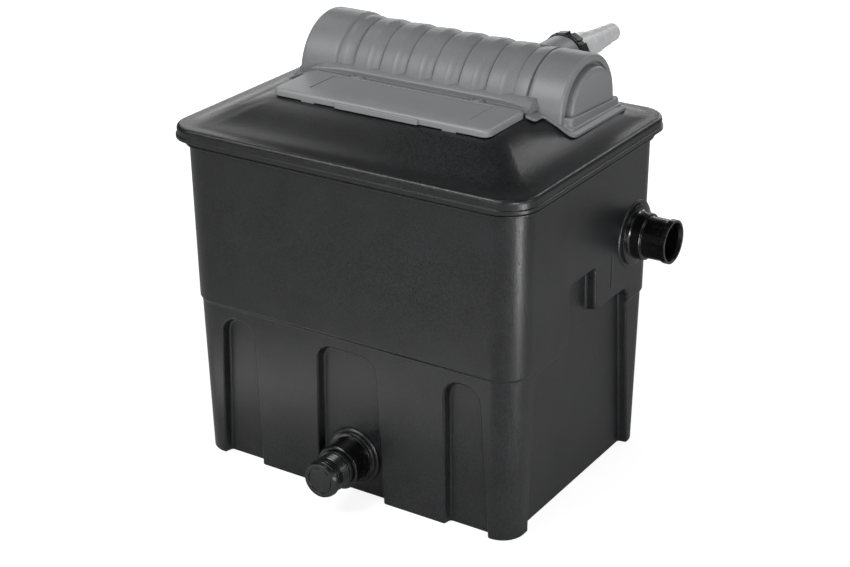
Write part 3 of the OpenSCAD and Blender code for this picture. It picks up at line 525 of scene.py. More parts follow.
# Foam cells of 4 mm, 2.6 mm and 1.8 mm, from the first block that the water meets to the last
FOAM_COARSE = open_cell_foam("foam_coarse", "#0E1F33", "#2C5C8E", 4.0)
FOAM_MEDIUM = open_cell_foam("foam_medium", "#15304D", "#4B86B8", 2.6)
FOAM_FINE = open_cell_foam("foam_fine", "#090C0F", "#2A353D", 1.8)
NET = net_of_rings()
FINISH = {
    "black_shell": BLACK_PP, "grey_cover": GREY_ABS, "grey_panel": GREY_ABS_PAINTED_PALER, "gloss_black": GLOSS_PVC,
    "dark_fittings": SATIN_PVC, "dark_grey": DARK_PP, "clear_tail": MILKY, "seal_rubber": RUBBER,
    "steel": STEEL, "potting": POTTING, "quartz": QUARTZ, "lamp_glass": LAMP, "lamp_ceramic": CERAMIC,
    "foam_blue": FOAM_COARSE, "foam_light": FOAM_MEDIUM, "foam_dark": FOAM_FINE, "media_net": NET}


# ---------------------------------------------------------------- tank

def wall_off(z):
    """How far the outside of the tank stands beyond the flat parts' corner lines."""
    low = FOOT_R + DRAFT_LOW * z
    if z <= STEP_Z - STEP_H:
        return low
    if z < STEP_Z:
        return low + STEP_IN * (z - STEP_Z + STEP_H) / STEP_H
    return FOOT_R + DRAFT_LOW * STEP_Z + STEP_IN + DRAFT_UP * (z - STEP_Z)


def inner_off(z):
    """The same for the inside, which is upright above the step."""
    return wall_off(min(z, STEP_Z)) - WALL


# Heights at which the walls have a row of points: the soft bends of the step lie between them.
STEP_ROWS = [STEP_Z - 5.2, STEP_Z - 4.0, STEP_Z - 3.2, STEP_Z - 1.8, STEP_Z - 0.6, STEP_Z + 0.3, STEP_Z + 1.4]
WALL_TOP = TANK_H - RIM_H - 1.2

# How a recess edge bends: how far in from its outline, and what share of its depth.
RECESS_BEND = [(0, 0), (0.9, 0.012), (1.8, 0.06), (2.5, 0.15), (3.0, 0.28), (4.0, 0.74), (4.5, 0.87),
               (5.2, 0.95), (6.1, 0.987), (7.5, 1)]
SLOT_BEND = [(0, 0), (0.3, 0.08), (0.6, 0.3), (0.9, 0.7), (1.2, 0.92), (1.5, 1)]


def arch_path(u0, u1, t0, t1, z0):
    """Arch recess from its right foot over its top to its left foot."""
    turn_z = ARCH_TOP - ARCH_R
    return [(u1, z0), *arc(t1 - ARCH_R, turn_z, ARCH_R, 0, 90, 14),
            *arc(t0 + ARCH_R, turn_z, ARCH_R, 90, 180, 14), (u0, z0)]


def side_path(z0):
    """The stepped recess of the right wall, which runs up past the step."""
    corners = [(134.5, z0), (107, 226), (96, 239), (20, 240), (16, 298), (-52, 298), (-52, 211),
               (-128, 211), (-128, z0)]
    return eased(corners, [0, 14, 10, 3, 9, 9, 3, 20, 0], steps=8)


def cross_rows(path, rows):
    """The path with a point added wherever it crosses a row."""
    out = [path[0]]
    for (u0, z0), (u1, z1) in zip(path, path[1:]):
        cuts = [z for z in rows if min(z0, z1) + 1e-3 < z < max(z0, z1) - 1e-3]
        for z in sorted(cuts, reverse=z1 < z0):
            out.append((u0 + (u1 - u0) * (z - z0) / (z1 - z0), z))
        out.append((u1, z1))
    return out


def clamp_path(path, limit):
    """Keeps a path within the flat part of its wall."""
    return [(max(-limit, min(limit, u)), z) for u, z in path]


def recess(bm, path, bend, face, sunk, hole=None):
    """Edge strips and floor of one recess. An open path stands on the wall's lower edge."""
    open_path = path[0][1] == path[-1][1] and abs(path[0][0] - path[-1][0]) > 5
    rings = []
    for d, share in bend:
        outline = inset(path, d, closed=not open_path)
        rings.append([face(u, z).lerp(sunk(u, z), share) for u, z in outline])
    loft(bm, rings, closed=not open_path)
    fill(bm, outline, sunk, holes=[hole] if hole else [])


def wall(bm, half, face, sunk, rows, paths, slots=(), hole=None, floor_hole=None):
    """One side of the tank: the flat sheet with its rows, its recesses and its holes."""
    border = [(-half, rows[0])]
    for path in sorted(paths, key=lambda q: q[-1][0]):
        border += path[::-1]
    border += [(half, z) for z in rows] + [(-half, z) for z in rows[:0:-1]]
    lines = [[(-half, z), (half, z)] for z in rows[1:-1]]
    fill(bm, border, face, holes=[*slots, hole] if hole else slots, lines=lines)
    for path in paths:
        middle = floor_hole if path[0][0] * path[-1][0] < 0 else None
        recess(bm, path, RECESS_BEND, face, sunk, middle)
    for path in slots:
        recess(bm, path, SLOT_BEND, face, lambda u, z: face(u, z) + inward(face, u, z) * SLOT_IN)


def inward(face, u, z):
    """Level direction from a wall's face towards the middle of the tank."""
    p = face(u, z)
    return Vector((-1, 0, 0)) * math.copysign(1, p.x) if abs(p.x) > FLAT_X else Vector((0, 1, 0))


# Holes in the walls, wider than the pipes: the pads round the fittings cover them.
OUT_HOLE = round_hole(OUT_Y, OUT_Z, 32)
DRAIN_HOLE = round_hole(0, DRAIN_Z, 30)


def wall_faces(axis, side, off, deep):
    """The face of one wall and the floor of its recesses: each puts (along, up) in space."""
    flat, sunk = (FLAT_X, SUNK_X) if axis == "x" else (FLAT_Y, SUNK_Y)

    def at(u, reach, z):
        return Vector((side * reach, u, z) if axis == "x" else (u, side * reach, z))

    return lambda u, z: at(u, flat + off(z), z), lambda u, z: at(u, sunk - deep + DRAFT_LOW * z, z)


def shell(bm, off, rows, thick):
    """The four walls and corners of the tank: the outside, or the inside at the wall's thickness."""
    z0 = rows[0]

    def grown(path, flat):
        path = inset(path, -thick, closed=False) if thick else path
        return clamp_path(cross_rows(path, rows), flat - RECESS_CLEAR)

    arches = [grown(arch_path(*a, z0), FLAT_X) for a in ARCHES]
    left_arch = grown(arch_path(*LEFT_ARCH, z0), FLAT_Y)
    side_recess = grown(side_path(z0), FLAT_Y)
    slot = cross_rows(round_box(*SIDE_SLOT, 1.9, 5), rows)
    wall(bm, FLAT_X, *wall_faces("y", -1, off, thick), rows, arches, floor_hole=DRAIN_HOLE)
    wall(bm, FLAT_X, *wall_faces("y", 1, off, thick), rows, arches)
    wall(bm, FLAT_Y, *wall_faces("x", -1, off, thick), rows, [left_arch])
    wall(bm, FLAT_Y, *wall_faces("x", 1, off, thick), rows, [side_recess],
         slots=[] if thick else [slot], hole=OUT_HOLE)
    for sx, sy in ((1, -1), (1, 1), (-1, 1), (-1, -1)):
        rings = []
        for z in rows:
            bow = arc(0, 0, off(z), 0, 90, 14)
            rings.append([(sx * (FLAT_X + x), sy * (FLAT_Y + y), z) for x, y in bow])
        loft(bm, rings, closed=False)


def rim_ring(off, z):
    """Closed ring round the whole tank at one height."""
    corners = [(FLAT_X, -FLAT_Y, -90), (FLAT_X, FLAT_Y, 0), (-FLAT_X, FLAT_Y, 90), (-FLAT_X, -FLAT_Y, 180)]
    return [(x, y, z) for cx, cy, a in corners for x, y in arc(cx, cy, off, a, a + 90, 14)]


def tank_rim(bm):
    """The flange round the top: a lower ledge, a small groove and a lip, and the inner edge."""
    top, brim = wall_off(WALL_TOP), wall_off(WALL_TOP) + RIM_OUT
    inner, mouth = inner_off(TANK_H), TANK_H - 0.6
    profile = [(top, WALL_TOP), (top, TANK_H - RIM_H), (brim, TANK_H - RIM_H), (brim, TANK_H - 4.4),
               (brim - 1.6, TANK_H - 4), (brim - 1.6, TANK_H - 3.2), (brim + 1.2, TANK_H - 2.8),
               (brim + 1.2, TANK_H), (inner, TANK_H), (inner, mouth)]
    rim = eased(profile, [0, 1.0, 0.8, 0.7, 0.3, 0.3, 0.7, 0.8, 0.5, 0], steps=3)
    loft(bm, [rim_ring(off, z) for off, z in rim])


def tank_floor(bm, height):
    """Closes the open lower edge of a shell and returns the faces that close it."""
    edges = [e for e in bm.edges if e.is_boundary and all(abs(v.co.z - height) < 0.01 for v in e.verts)]
    return bmesh.ops.holes_fill(bm, edges=edges, sides=0)["faces"]


def make_tank():
    """Outer and inner shell, joined by the rim and the two holes, with pads and guide ribs."""
    bm = bmesh.new()
    shell(bm, wall_off, [FOOT_EDGE, *STEP_ROWS, WALL_TOP], 0)
    shell(bm, inner_off, [FLOOR_T, STEP_Z - 1, STEP_Z + 1, TANK_H - 0.6], WALL)
    tank_rim(bm)
    loft(bm, [[(FLAT_X + off(z), u, z) for u, z in OUT_HOLE] for off in (wall_off, inner_off)])
    loft(bm, [[(u, -reach - DRAFT_LOW * z, z) for u, z in DRAIN_HOLE] for reach in (SUNK_Y, SUNK_Y - WALL)])
    bmesh.ops.remove_doubles(bm, verts=bm.verts, dist=0.003)
    underside = tank_floor(bm, FOOT_EDGE)
    bmesh.ops.inset_region(bm, faces=underside, thickness=FOOT_EDGE * 0.8, use_even_offset=False)
    for v in {v for f in underside for v in f.verts}:
        v.co.z = 0
    tank_floor(bm, FLOOR_T)
    outlet_pad = [(26.4, 231), (38, 231), (38, 237), (44, 237), (44, 239), (42.5, OUT_FACE), (26.4, OUT_FACE)]
    lathe(bm, eased(outlet_pad, 0.5, 2, True), on_outlet_axis)
    drain_pad = [(26.4, 148.5), (36, 148.5), (36, 153), (38, 153), (38, 158.5), (36.5, DRAIN_FACE),
                 (26.4, DRAIN_FACE)]
    lathe(bm, eased(drain_pad, 0.5, 2, True), on_drain_axis)
    for x, near, far, z0, z1 in GUIDE_RIBS:
        for y0, y1 in ((near, far), (-far, -near)):
            block(bm, x, x + GUIDE_T, y0, y1, z0, z1, 0.5)
    dress(new_mesh_object("filter_tank", bm), BLACK_PP, "black_shell", "base", "tank")


# ---------------------------------------------------------------- lid

def dome(s):
    """Height of the lid's surface at a distance s in from its edge."""
    t = min(1, max(0, (s - DOME_IN) / (DOME_RUN - DOME_IN)))
    return LID_EDGE + (LID_TOP - LID_EDGE) * (1 - math.cos(math.pi * t)) / 2


def lid_corner(s):
    """Corner radius of the lid's outline at a distance s in from its edge."""
    return max(LID_R - s, 30 - 0.05 * s)


def edge_distance(x, y):
    """How far a point of the lid lies in from its edge, along the outlines of its dome."""
    low, high = 0.0, LID_Y - 1
    for _ in range(26):
        s = (low + high) / 2
        r = lid_corner(s)
        qx, qy = abs(x) - (LID_X - s - r), abs(y) - (LID_Y - s - r)
        out = math.hypot(max(qx, 0), max(qy, 0)) + min(max(qx, qy), 0) - r
        low, high = (s, high) if out < 0 else (low, s)
    return low


def lid_height(x, y):
    """Height of the lid's surface at a point."""
    return dome(edge_distance(x, y))


def lid_ring(s, z, corner):
    """Ring at a distance s in from the lid's edge and at a height z."""
    return flat_ring(round_box(-LID_X + s, LID_X - s, -LID_Y + s, LID_Y - s, corner, 14), z)


def lid_skin(bm, profile):
    """Surface through (distance from the edge, height) points."""
    loft(bm, [lid_ring(s, z, lid_corner(s)) for s, z in profile])


def ballast_well(bm, mouth, well):
    """The pocket sunk in the lid under the flap, with a rounded mouth."""
    bend = ((0, LID_TOP), (0.3, LID_TOP - 0.1), (0.9, LID_TOP - 0.9), (1, BAY_Z + 1), (1.4, BAY_Z + 0.3),
            (2, BAY_Z))
    loft(bm, [flat_ring(inset(mouth, d), z) for d, z in bend], ends=(False, True))
    loft(bm, [flat_ring(well, z) for z in (LID_TOP - LID_T, BAY_Z - 3)], ends=(False, True))


def make_lid():
    """Domed lid with its upright band, the ballast well, the drop hole and the locating lip."""
    bm = bmesh.new()
    inner_edge = LID_EDGE - BAND_T
    band = eased([(BAND_T, inner_edge), (BAND_T, LID_LOW), (-1.5, LID_LOW), (-1.5, LID_LOW + 4.5),
                  (0, LID_LOW + 5), (0, LID_EDGE), (13.5, LID_EDGE + 0.05)],
                 [0, 0.5, 0.9, 0.9, 0.6, 9.0, 0], steps=9)
    lid_skin(bm, band + [(s, dome(s)) for s in range(15, 101, 3)] + [(DOME_RUN, LID_TOP)])
    under = [(BAND_T, inner_edge), (20, inner_edge)] + [(s, dome(s) - LID_T) for s in range(25, 100, 8)]
    lid_skin(bm, under + [(DOME_RUN, LID_TOP - LID_T)])
    x0, x1, y0, y1 = BAY
    mouth = round_box(x0 - 1, x1 + 1, y0 - 0.9, y1 + 1, 7, 6)
    well = round_box(x0 - 3, x1 + 3, y0 - 3, y1 + 3, 9, 6)
    drop = round_hole(DROP_X, COVER_Y, DROP_R)
    middle = [(x, y) for x, y, _ in lid_ring(DOME_RUN, 0, lid_corner(DOME_RUN))]
    fill(bm, middle, lambda x, y: (x, y, LID_TOP), holes=[mouth, drop])
    fill(bm, middle, lambda x, y: (x, y, LID_TOP - LID_T), holes=[well, drop])
    loft(bm, [flat_ring(drop, z) for z in (LID_TOP, LID_TOP - LID_T)])
    ballast_well(bm, mouth, well)
    # Collar under the drop hole, then the lip that stands inside the tank's rim
    lathe(bm, [(DROP_R, 465.5), (29, 465.5), (29, 471.8), (DROP_R, 471.8)],
          lambda a, b, h: (DROP_X + a, COVER_Y + b, h))
    lip = [(16.73, 442), (16.73, 412.6), (17.3, 412), (19.2, 412), (19.73, 412.6), (19.73, 442)]
    loft(bm, [lid_ring(s, z, LIP_R - s) for s, z in lip + lip[:1]])
    dress(new_mesh_object("filter_lid", bm), BLACK_PP, "black_shell", "lid", "lid")


# ---------------------------------------------------------------- cover of the clarifier

def smooth_path(points, steps):
    """Curve through (x, r) points that never overshoots, so crests and grooves stay put."""
    n = len(points)
    h = [points[i + 1][0] - points[i][0] for i in range(n - 1)]
    d = [(points[i + 1][1] - points[i][1]) / h[i] for i in range(n - 1)]
    m = [d[0]] + [0 if a * b <= 0 else 2 * a * b / (a + b) for a, b in zip(d, d[1:])] + [d[-1]]
    out = []
    for i in range(n - 1):
        (x, r), (_, r_next) = points[i], points[i + 1]
        for k in range(steps):
            t = k / steps
            out.append((x + t * h[i],
                        r * (2 * t ** 3 - 3 * t * t + 1) + h[i] * m[i] * (t ** 3 - 2 * t * t + t)
                        + r_next * (3 * t * t - 2 * t ** 3) + h[i] * m[i + 1] * (t ** 3 - t * t)))
    return out + [points[-1]]


def rib_points():
    """Outline of the ribbed tunnel from the smooth drum on the left to the arch on the right."""
    r, g = RIB_R, GROOVE_R
    pts = [(COVER_X0 + 12, DRUM_R), (-135, DRUM_R), (-131.5, DRUM_R - 0.9), (-129.4, r - 0.6),
           (-127, r - 0.2), (-121, r), (-117, r - 0.9), (-111, r - 2.9)]
    for i in range(RIB_COUNT):
        x = RIB_START + i * RIB_PITCH
        pts += [(x - 0.3, g - 0.6), (x + 0.5, g - 0.6), (x + 1.2, r - 1.3), (x + 10, r - 0.7),
                (x + 17, r - 0.3), (x + 20.5, r), (x + 23.5, r - 0.4), (x + 29, r - 2.0), (x + 36.8, g + 0.3)]
    x = RIB_START + RIB_COUNT * RIB_PITCH
    return pts + [(x, g), (x + 1.2, r - 2.0), (x + 18, r - 0.5), (x + 19.6, g + 0.6), (x + 21.0, r - 1.2),
                  (x + 26, r), (173, r)]


def tunnel_ring(x, r):
    """Closed section of the tunnel: its arch, its upright skirts and an underside in the flange."""
    ends = [(COVER_Y - r, lid_height(x, COVER_Y - r) + 1), (COVER_Y + r, lid_height(x, COVER_Y + r) + 1)]
    bow = [(COVER_Y + r * math.cos(a), COVER_Z + r * math.sin(a))
           for a in [math.pi * (1 - i / BOW_STEPS) for i in range(BOW_STEPS + 1)]]
    floor = [COVER_Y + r * (1 - i / 5) for i in range(1, 10)]
    under = [(y, lid_height(x, y) + 1) for y in floor]
    return [(x, y, z) for y, z in [ends[0], *bow, ends[1], *under]]


def ramp_front(x):
    """Where the ramp behind the flap starts: an arch that comes forward at both ends."""
    return RAMP_Y - RAMP_BOW * max(0, (abs(x) - 96) / 58) ** 2


def ramp_top(x, y):
    """Top of the ramp behind the flap. It rises fast, lies flat and runs out on the left."""
    t = min(1, max(0, (y - ramp_front(x)) / RAMP_RUN))
    fade = min(1, max(0, (158 + x) / 36))
    return RAMP_LOW + RAMP_RISE * t * (2 - t) * fade * (2 - fade)


def cover_tunnel():
    """The ribbed half-round tunnel between its drum and its stepped end, with the nut's pocket."""
    left = eased([(COVER_X0, DRUM_R - 12), (COVER_X0, DRUM_R), (COVER_X0 + 12, DRUM_R)], 9, 8)
    right = eased([(173, RIB_R), (189.6, RIB_R), (190.4, 58.4), (186.6, 57.8), (186.4, 53.6),
                   (END_X - 1, 52.4), (END_X, 46)], [0, 9, 0.8, 0.8, 0.8, 4.5, 0], 8)
    profile = left[:-1] + smooth_path(rib_points(), 5)[1:] + right[1:]
    bm = bmesh.new()
    loft(bm, [tunnel_ring(x, r) for x, r in profile], ends=(True, True))
    tunnel = new_mesh_object("lamp_cover_tunnel", bm)
    pocket = bmesh.new()
    lathe(pocket, [(0.01, 128.6), (33.6, 128.6), (33.6, 170), (0.01, 170)], on_inlet_axis)
    return reopened(carve(tunnel, pocket))


def above_lid(lift):
    """A surface that follows the lid at a lift above it."""
    return lambda x, y: lid_height(x, y) + lift


def cover_flange(bm):
    """A foot on the lid, a wide plate clear of it with two ears, and a raised land."""
    x0, x1, y0, y1 = FLANGE
    brim = [(x0, y0), (-168, y0), (-168, -14), (-153.4, -14), (-153.4, y0), (153.4, y0), (153.4, -14),
            (168, -14), (168, y0), (x1, y0), (x1, y1), (x0, y1)]
    brim = eased(brim, [11, 6, 6, 4, 2, 2, 4, 6, 6, 11, 11, 11], 6, True)
    foot = round_box(x0 + 2.5, x1 - 2.5, y0 + 2.5, y1 - 2.5, 9)
    land = round_box(x0 + 5, x1 - 5, y0 + 5, y1 - 5, 8)
    pad(bm, foot, above_lid(FLANGE_LIFT + 1), above_lid(-1), 0.2, pitch=8)
    pad(bm, brim, above_lid(FLANGE_LIFT + 2.9), above_lid(FLANGE_LIFT), 1.1, pitch=6)
    pad(bm, land, above_lid(FLANGE_LIFT + 5.8), above_lid(FLANGE_LIFT + 1), 1.3, pitch=8)


def block_top(x, y):
    """Top of the foot blocks, which falls towards the back."""
    return BLOCK_TOP - BLOCK_FALL * (y - BLOCK_FRONT)


def make_cover():
    """Tunnel, flange, foot blocks, shelf and ramp, joined in one moulding."""
    bm = cover_tunnel()
    cover_flange(bm)
    for x0, x1 in FOOT_BLOCKS:
        pad(bm, round_box(x0, x1, BLOCK_FRONT, BLOCK_BACK, 7), block_top, above_lid(1), 2.0, pitch=12)
    pad(bm, round_box(*SHELF, 3), level(SHELF_TOP), level(SHELF_LOW), 0.6)
    bow = [(x, ramp_front(x)) for x in (-157 + 314 * i / 60 for i in range(61))]
    ramp = bow + arc(150, 82, 8, 0, 90, 5) + arc(-150, 82, 8, 90, 180, 5)
    pad(bm, ramp, ramp_top, level(SHELF_LOW), 1.1, pitch=5)
    # Socket of the hose tail, then the cable gland's boss and the hinge ears
    socket = [(10, 92), (29, 92), (29, 136), (24.5, 136), (24.5, 128.4), (10, 128.4)]
    lathe(bm, eased(socket, [0, 0, 1.6, 0.4, 0.4, 0], 5, True), on_inlet_axis)
    lathe(bm, eased([(8.2, 128), (13, 128), (13, 145), (8.2, 145)], [0, 0, 1.2, 0.4], 4, True),
          lambda a, b, h: (GLAND_X + a, h, GLAND_Z + b), 48)
    for s in (-1, 1):
        for along in EAR_AT:
            x = s * HINGE_X + along
            knuckle(bm, 0.01, x, x + EAR_T)
            block(bm, x + 0.05, x + EAR_T - 0.05, HINGE_Y, HINGE_Y + 7, HINGE_Z - 3, HINGE_Z + 3.4, 0.5)
    dress(new_mesh_object("lamp_cover", bm), GREY_ABS, "grey_cover", "lid", "uv_cover")


# ---------------------------------------------------------------- service flap

def flap_slab():
    """The flap's slab, hollow below, with its rounded edge, the panel's pocket and the hinge gaps."""
    bm = bmesh.new()
    outline = round_box(*FLAP, 10)
    hollow = ((5, FLAP_TOP - 2.5), (5, FLAP_Z0 + 0.3), (2.2, FLAP_Z0), (0.4, FLAP_Z0), (0, FLAP_Z0 + 0.5))
    rings = [flat_ring(inset(outline, d) if d else outline, z) for d, z in hollow]
    for t in range(0, 91, 15):
        a = math.radians(t)
        edge = inset(outline, FLAP_EDGE * (1 - math.cos(a)))
        rings.append(flat_ring(edge, FLAP_TOP - FLAP_EDGE * (1 - math.sin(a))))
    loft(bm, rings, ends=(True, False))
    x0, x1, y0, y1 = PANEL
    pocket = round_box(x0 - PANEL_GAP, x1 + PANEL_GAP, y0 - PANEL_GAP, y1 + PANEL_GAP, 3.9, 5)
    fill(bm, inset(outline, FLAP_EDGE), lambda x, y: (x, y, FLAP_TOP), holes=[pocket])
    bend = ((0, FLAP_TOP), (0.12, FLAP_TOP - 0.15), (0.12, FLAP_TOP - PANEL_GAP))
    loft(bm, [flat_ring(inset(pocket, d), z) for d, z in bend], ends=(False, True))
    gaps = []
    for s in (-1, 1):
        gap = bmesh.new()
        block(gap, s * HINGE_X - 9.9, s * HINGE_X + 9.9, HINGE_Y - 4.4, 5, 470, 495, 1.0)
        gaps.append(gap)
    return reopened(carve(new_mesh_object("service_flap", bm), *gaps))


def make_flap():
    """The slab with its finger grip, its two tabs and its two knuckles."""
    bm = flap_slab()
    front = FLAP[2]
    grip = round_box(-GRIP_X, GRIP_X, front - 2.8, front + 6, 1.6, 4)
    pad(bm, grip, level(GRIP_TOP), level(FLAP_Z0), 1.0)
    for s in (-1, 1):
        block(bm, s * TAB_X - 9.5, s * TAB_X + 9.5, front + 0.2, front + 2, 473.2, 478.2, 0.5)
    for x in (-HINGE_X, HINGE_X):
        knuckle(bm, 2.1, x - 4, x + 4)
        block(bm, x - 3.9, x + 3.9, HINGE_Y - 6, HINGE_Y, HINGE_Z - 1, HINGE_Z + 3.3, 0.4)
    # The flap's paler grey is painted light, standing in for the brighter light on its top.
    dress(new_mesh_object("service_flap", bm), GREY_ABS_PAINTED_PALER, "grey_cover", "flap", "access_flap")


def make_face_plate():
    """The bare plate that lies in the flap's pocket."""
    bm = bmesh.new()
    pad(bm, round_box(*PANEL, 2.9, 5), level(FLAP_TOP - 0.5), level(FLAP_TOP - 1.08), 0.35)
    # The plate's paler grey is painted light, like the flap's.
    dress(new_mesh_object("flap_face_plate", bm), GREY_ABS_PAINTED_PALER, "grey_panel", "flap", "flap_panel")


# ---------------------------------------------------------------- pipes, plug, nut and hose tail

def make_outlet():
    """Flange on its seal, a collar, the pipe and its raised rim."""
    f = OUT_FACE + 1.6
    profile = [(OUT_BORE, 208), (OUT_R, 208), (OUT_R, f), (38.4, f), (38.4, f + 1.4), (34.6, f + 2.4),
               (31.4, f + 3), (30.2, f + 5), (29.4, 258.6), (28.6, 259.4), (OUT_R + 0.4, 260),
               (OUT_R, OUT_END - 9), (OUT_RIM, OUT_END - 7), (OUT_RIM, OUT_END), (OUT_BORE + 1.6, OUT_END),
               (OUT_BORE, OUT_END - 5)]
    pipe = turned("outlet_pipe", profile, 0.7, on_outlet_axis, 128)
    dress(pipe, GLOSS_PVC, "gloss_black", "base", "outlet_fitting")


def make_drain_pipe():
    """Disc on the wall and a short pipe with a rounded end."""
    w, e, r = DRAIN_FACE, DRAIN_END, DRAIN_R
    profile = [(DRAIN_BORE, 134), (r - 2, 134), (r - 2, w + 0.1), (33.8, w + 0.1), (33.8, w + 1.8),
               (31.4, w + 2.6), (r + 0.6, w + 3), (r, w + 4.4), (r, e - 3.4), (r + 0.8, e - 2.8),
               (r + 0.8, e - 1.4), (r - 1, e), (DRAIN_BORE, e)]
    pipe = turned("drain_pipe", profile, 0.6, on_drain_axis, 128)
    dress(pipe, GLOSS_PVC, "gloss_black", "base", "drain_fitting")


def make_drain_cap():
    """Screw plug with four grip lines, a plain band and a double ring at its end."""
    s, g = DRAIN_END + 2, GRIP_R
    profile = [(0.01, s - 18), (DRAIN_BORE - 1.6, s - 18), (DRAIN_BORE - 0.1, s - 16.6),
               (DRAIN_BORE - 0.1, s), (g + 1.2, s), (g + 1.2, s + 2.4), (g - 0.6, s + 3.0)]
    for i in range(GRIP_LINES):
        y = s + 3.4 + i * 3.3
        profile += [(g - 1.3, y), (g + 0.1, y + 0.9), (g + 0.1, y + 1.7), (g - 1.3, y + 2.8)]
    profile += [(g - 0.2, s + 17.4), (g - 0.2, s + 24.6), (g - 1.2, s + 25.2), (g - 1.2, s + 26.2),
                (g + 1, s + 27), (g + 1, s + 29.4), (g, s + 29.9), (g, s + 30.5), (g + 0.8, s + 31),
                (g - 0.8, s + 35), (17, s + 35), (17, s + 33.4), (15.6, s + 33.4), (15.6, s + 34.6),
                (0.01, s + 34.6)]
    cap = turned("drain_cap", profile, 0.5, on_drain_axis, 128, closed=False)
    dress(cap, SATIN_PVC, "gloss_black", "plug", "drain_plug")


def make_union_nut():
    """Nut that holds the hose tail, with upright lugs for the hand all round it."""
    r = NUT_R
    profile = [(18.4, 146.2), (SPIGOT_R + 0.1, 146.2), (SPIGOT_R + 0.1, 137), (r - 1.4, 137),
               (r - 0.6, 137.8), (r - 0.6, 139.4), (r - 2.6, 140), (r - 2.2, 152.6), (r - 4, 156),
               (20.9, 156), (20.9, 150.2), (18.4, 150.2)]
    bm = bmesh.new()
    lathe(bm, eased(profile, 0.5, 3, True), on_inlet_axis)
    for i in range(NUT_LUGS):
        turn = Matrix.Rotation(math.radians(360 / NUT_LUGS * i + 9), 4, "Y")
        lug = bmesh.new()
        block(lug, r - 6, r, 140.4, 153.4, -7.2, 7.2, 1.2)
        bmesh.ops.transform(lug, matrix=Matrix.Translation((IN_X, 0, IN_Z)) @ turn, verts=lug.verts)
        spare = bpy.data.meshes.new("lug")
        lug.to_mesh(spare)
        lug.free()
        bm.from_mesh(spare)
        bpy.data.meshes.remove(spare)
    dress(new_mesh_object("hose_union_nut", bm), DARK_PP, "dark_grey", "nut", "union_nut")


def make_hose_tail():
    """Four steps, the last three with a low rounded lip at their start."""
    t1, t2, t3, t4 = TAIL_R
    profile = [(16.5, 140.6), (23.4, 140.6), (23.4, 146), (18.2, 146), (18.2, 150.4), (t1 - 0.3, 150.8),
               (t1, 153), (t1 - 0.6, 194), (t1 - 1.8, 197.5)]
    for radius, start, end in ((t2, 200, 222), (t3, 224, 243), (t4, 245, TAIL_END)):
        profile += [(radius - 0.4, start), (radius + 0.5, start + 1.4), (radius + 0.5, start + 3.6),
                    (radius - 0.5, start + 5.4), (radius - 0.6, end - 2.2), (radius - 1.4, end)]
    profile += [(t4 - TAIL_T, TAIL_END - 0.4), (t4 - TAIL_T, 243), (t3 - TAIL_T, 236), (t3 - TAIL_T, 222),
                (t2 - TAIL_T, 215), (t2 - TAIL_T, 197), (t1 - 3.4, 188), (t1 - 3.4, 156), (14.5, 151),
                (14.5, 142)]
    tail = turned("stepped_hose_tail", profile, 0.7, on_inlet_axis, 80)
    dress(tail, MILKY, "clear_tail", "hose", "hose_tail")


# ---------------------------------------------------------------- foams and media

def soft_block(name, low, high, lump, pitch, corner):
    """Block of soft stuff: finely divided, with rounded edges and an uneven skin."""
    bm = bmesh.new()
    size = [high[i] - low[i] for i in range(3)]
    cuts = [max(2, round(s / pitch)) for s in size]
    for axis in range(3):
        u, v = (axis + 1) % 3, (axis + 2) % 3
        for side in (0, 1):
            rows = []
            for i in range(cuts[u] + 1):
                row = []
                for j in range(cuts[v] + 1):
                    p = [0, 0, 0]
                    p[axis] = side
                    p[u], p[v] = i / cuts[u], j / cuts[v]
                    row.append(tuple(low[k] + size[k] * p[k] for k in range(3)))
                rows.append(row)
            loft(bm, rows, closed=False)
    bmesh.ops.remove_doubles(bm, verts=bm.verts, dist=0.01)
    mid = [(low[k] + high[k]) / 2 for k in range(3)]
    for v in bm.verts:
        core = Vector([max(low[k] + corner, min(high[k] - corner, v.co[k])) for k in range(3)])
        out = v.co - core
        if out.length > 0:
            v.co = core + out.normalized() * corner
        push = noise.noise(v.co / SKIN_WAVE) * lump - lump
        away = Vector([v.co[k] - mid[k] for k in range(3)])
        axis = max(range(3), key=lambda k: abs(away[k]) / size[k])
        v.co[axis] += math.copysign(push, away[axis])
    return new_mesh_object(name, bm)


def node_box(node):
    """A node's corners in millimetres."""
    low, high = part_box(node)
    return [c / MM for c in low], [c / MM for c in high]


def make_foams():
    """Three foam blocks that fill the frame, each as large as its node."""
    for node, finish, slot in (("foam_coarse", FOAM_COARSE, "foam_blue"),
                               ("foam_medium", FOAM_MEDIUM, "foam_light"),
                               ("foam_fine", FOAM_FINE, "foam_dark")):
        foam = soft_block(node + "_block", *node_box(node), lump=0.5, pitch=5, corner=2)
        dress(foam, finish, slot, "base", node, crease=70)


def make_media_bag():
    """Net bag that lies in the basket, lumpy from the rings in it."""
    bag = soft_block("ring_media_bag", *node_box("media_bag"), lump=3.0, pitch=7, corner=16)
    dress(bag, NET, "media_net", "base", "media_bag", crease=80)


# ---------------------------------------------------------------- nodes that keep their own shape

def finish_nodes():
    """Puts the finishes on the frame's own nodes."""
    wanted = {row["node"]: row["material_slot"] for row in frame["record"]["subparts"]}
    for name, obj in frame["nodes"].items():
        for place in obj.material_slots:
            place.material = FINISH[wanted[name]]


# ---------------------------------------------------------------- floor, light and camera

FOCAL_PX, IMAGE_W = 1875.8, 850     # focal length and picture width in pixels
CAMERA_AZ, CAMERA_EL, CAMERA_ROLL = 32.91, 24.20, -0.47
CAMERA_FROM = (1180.3, -1816.0, 1197.2)
FLOOR_REACH = 6000


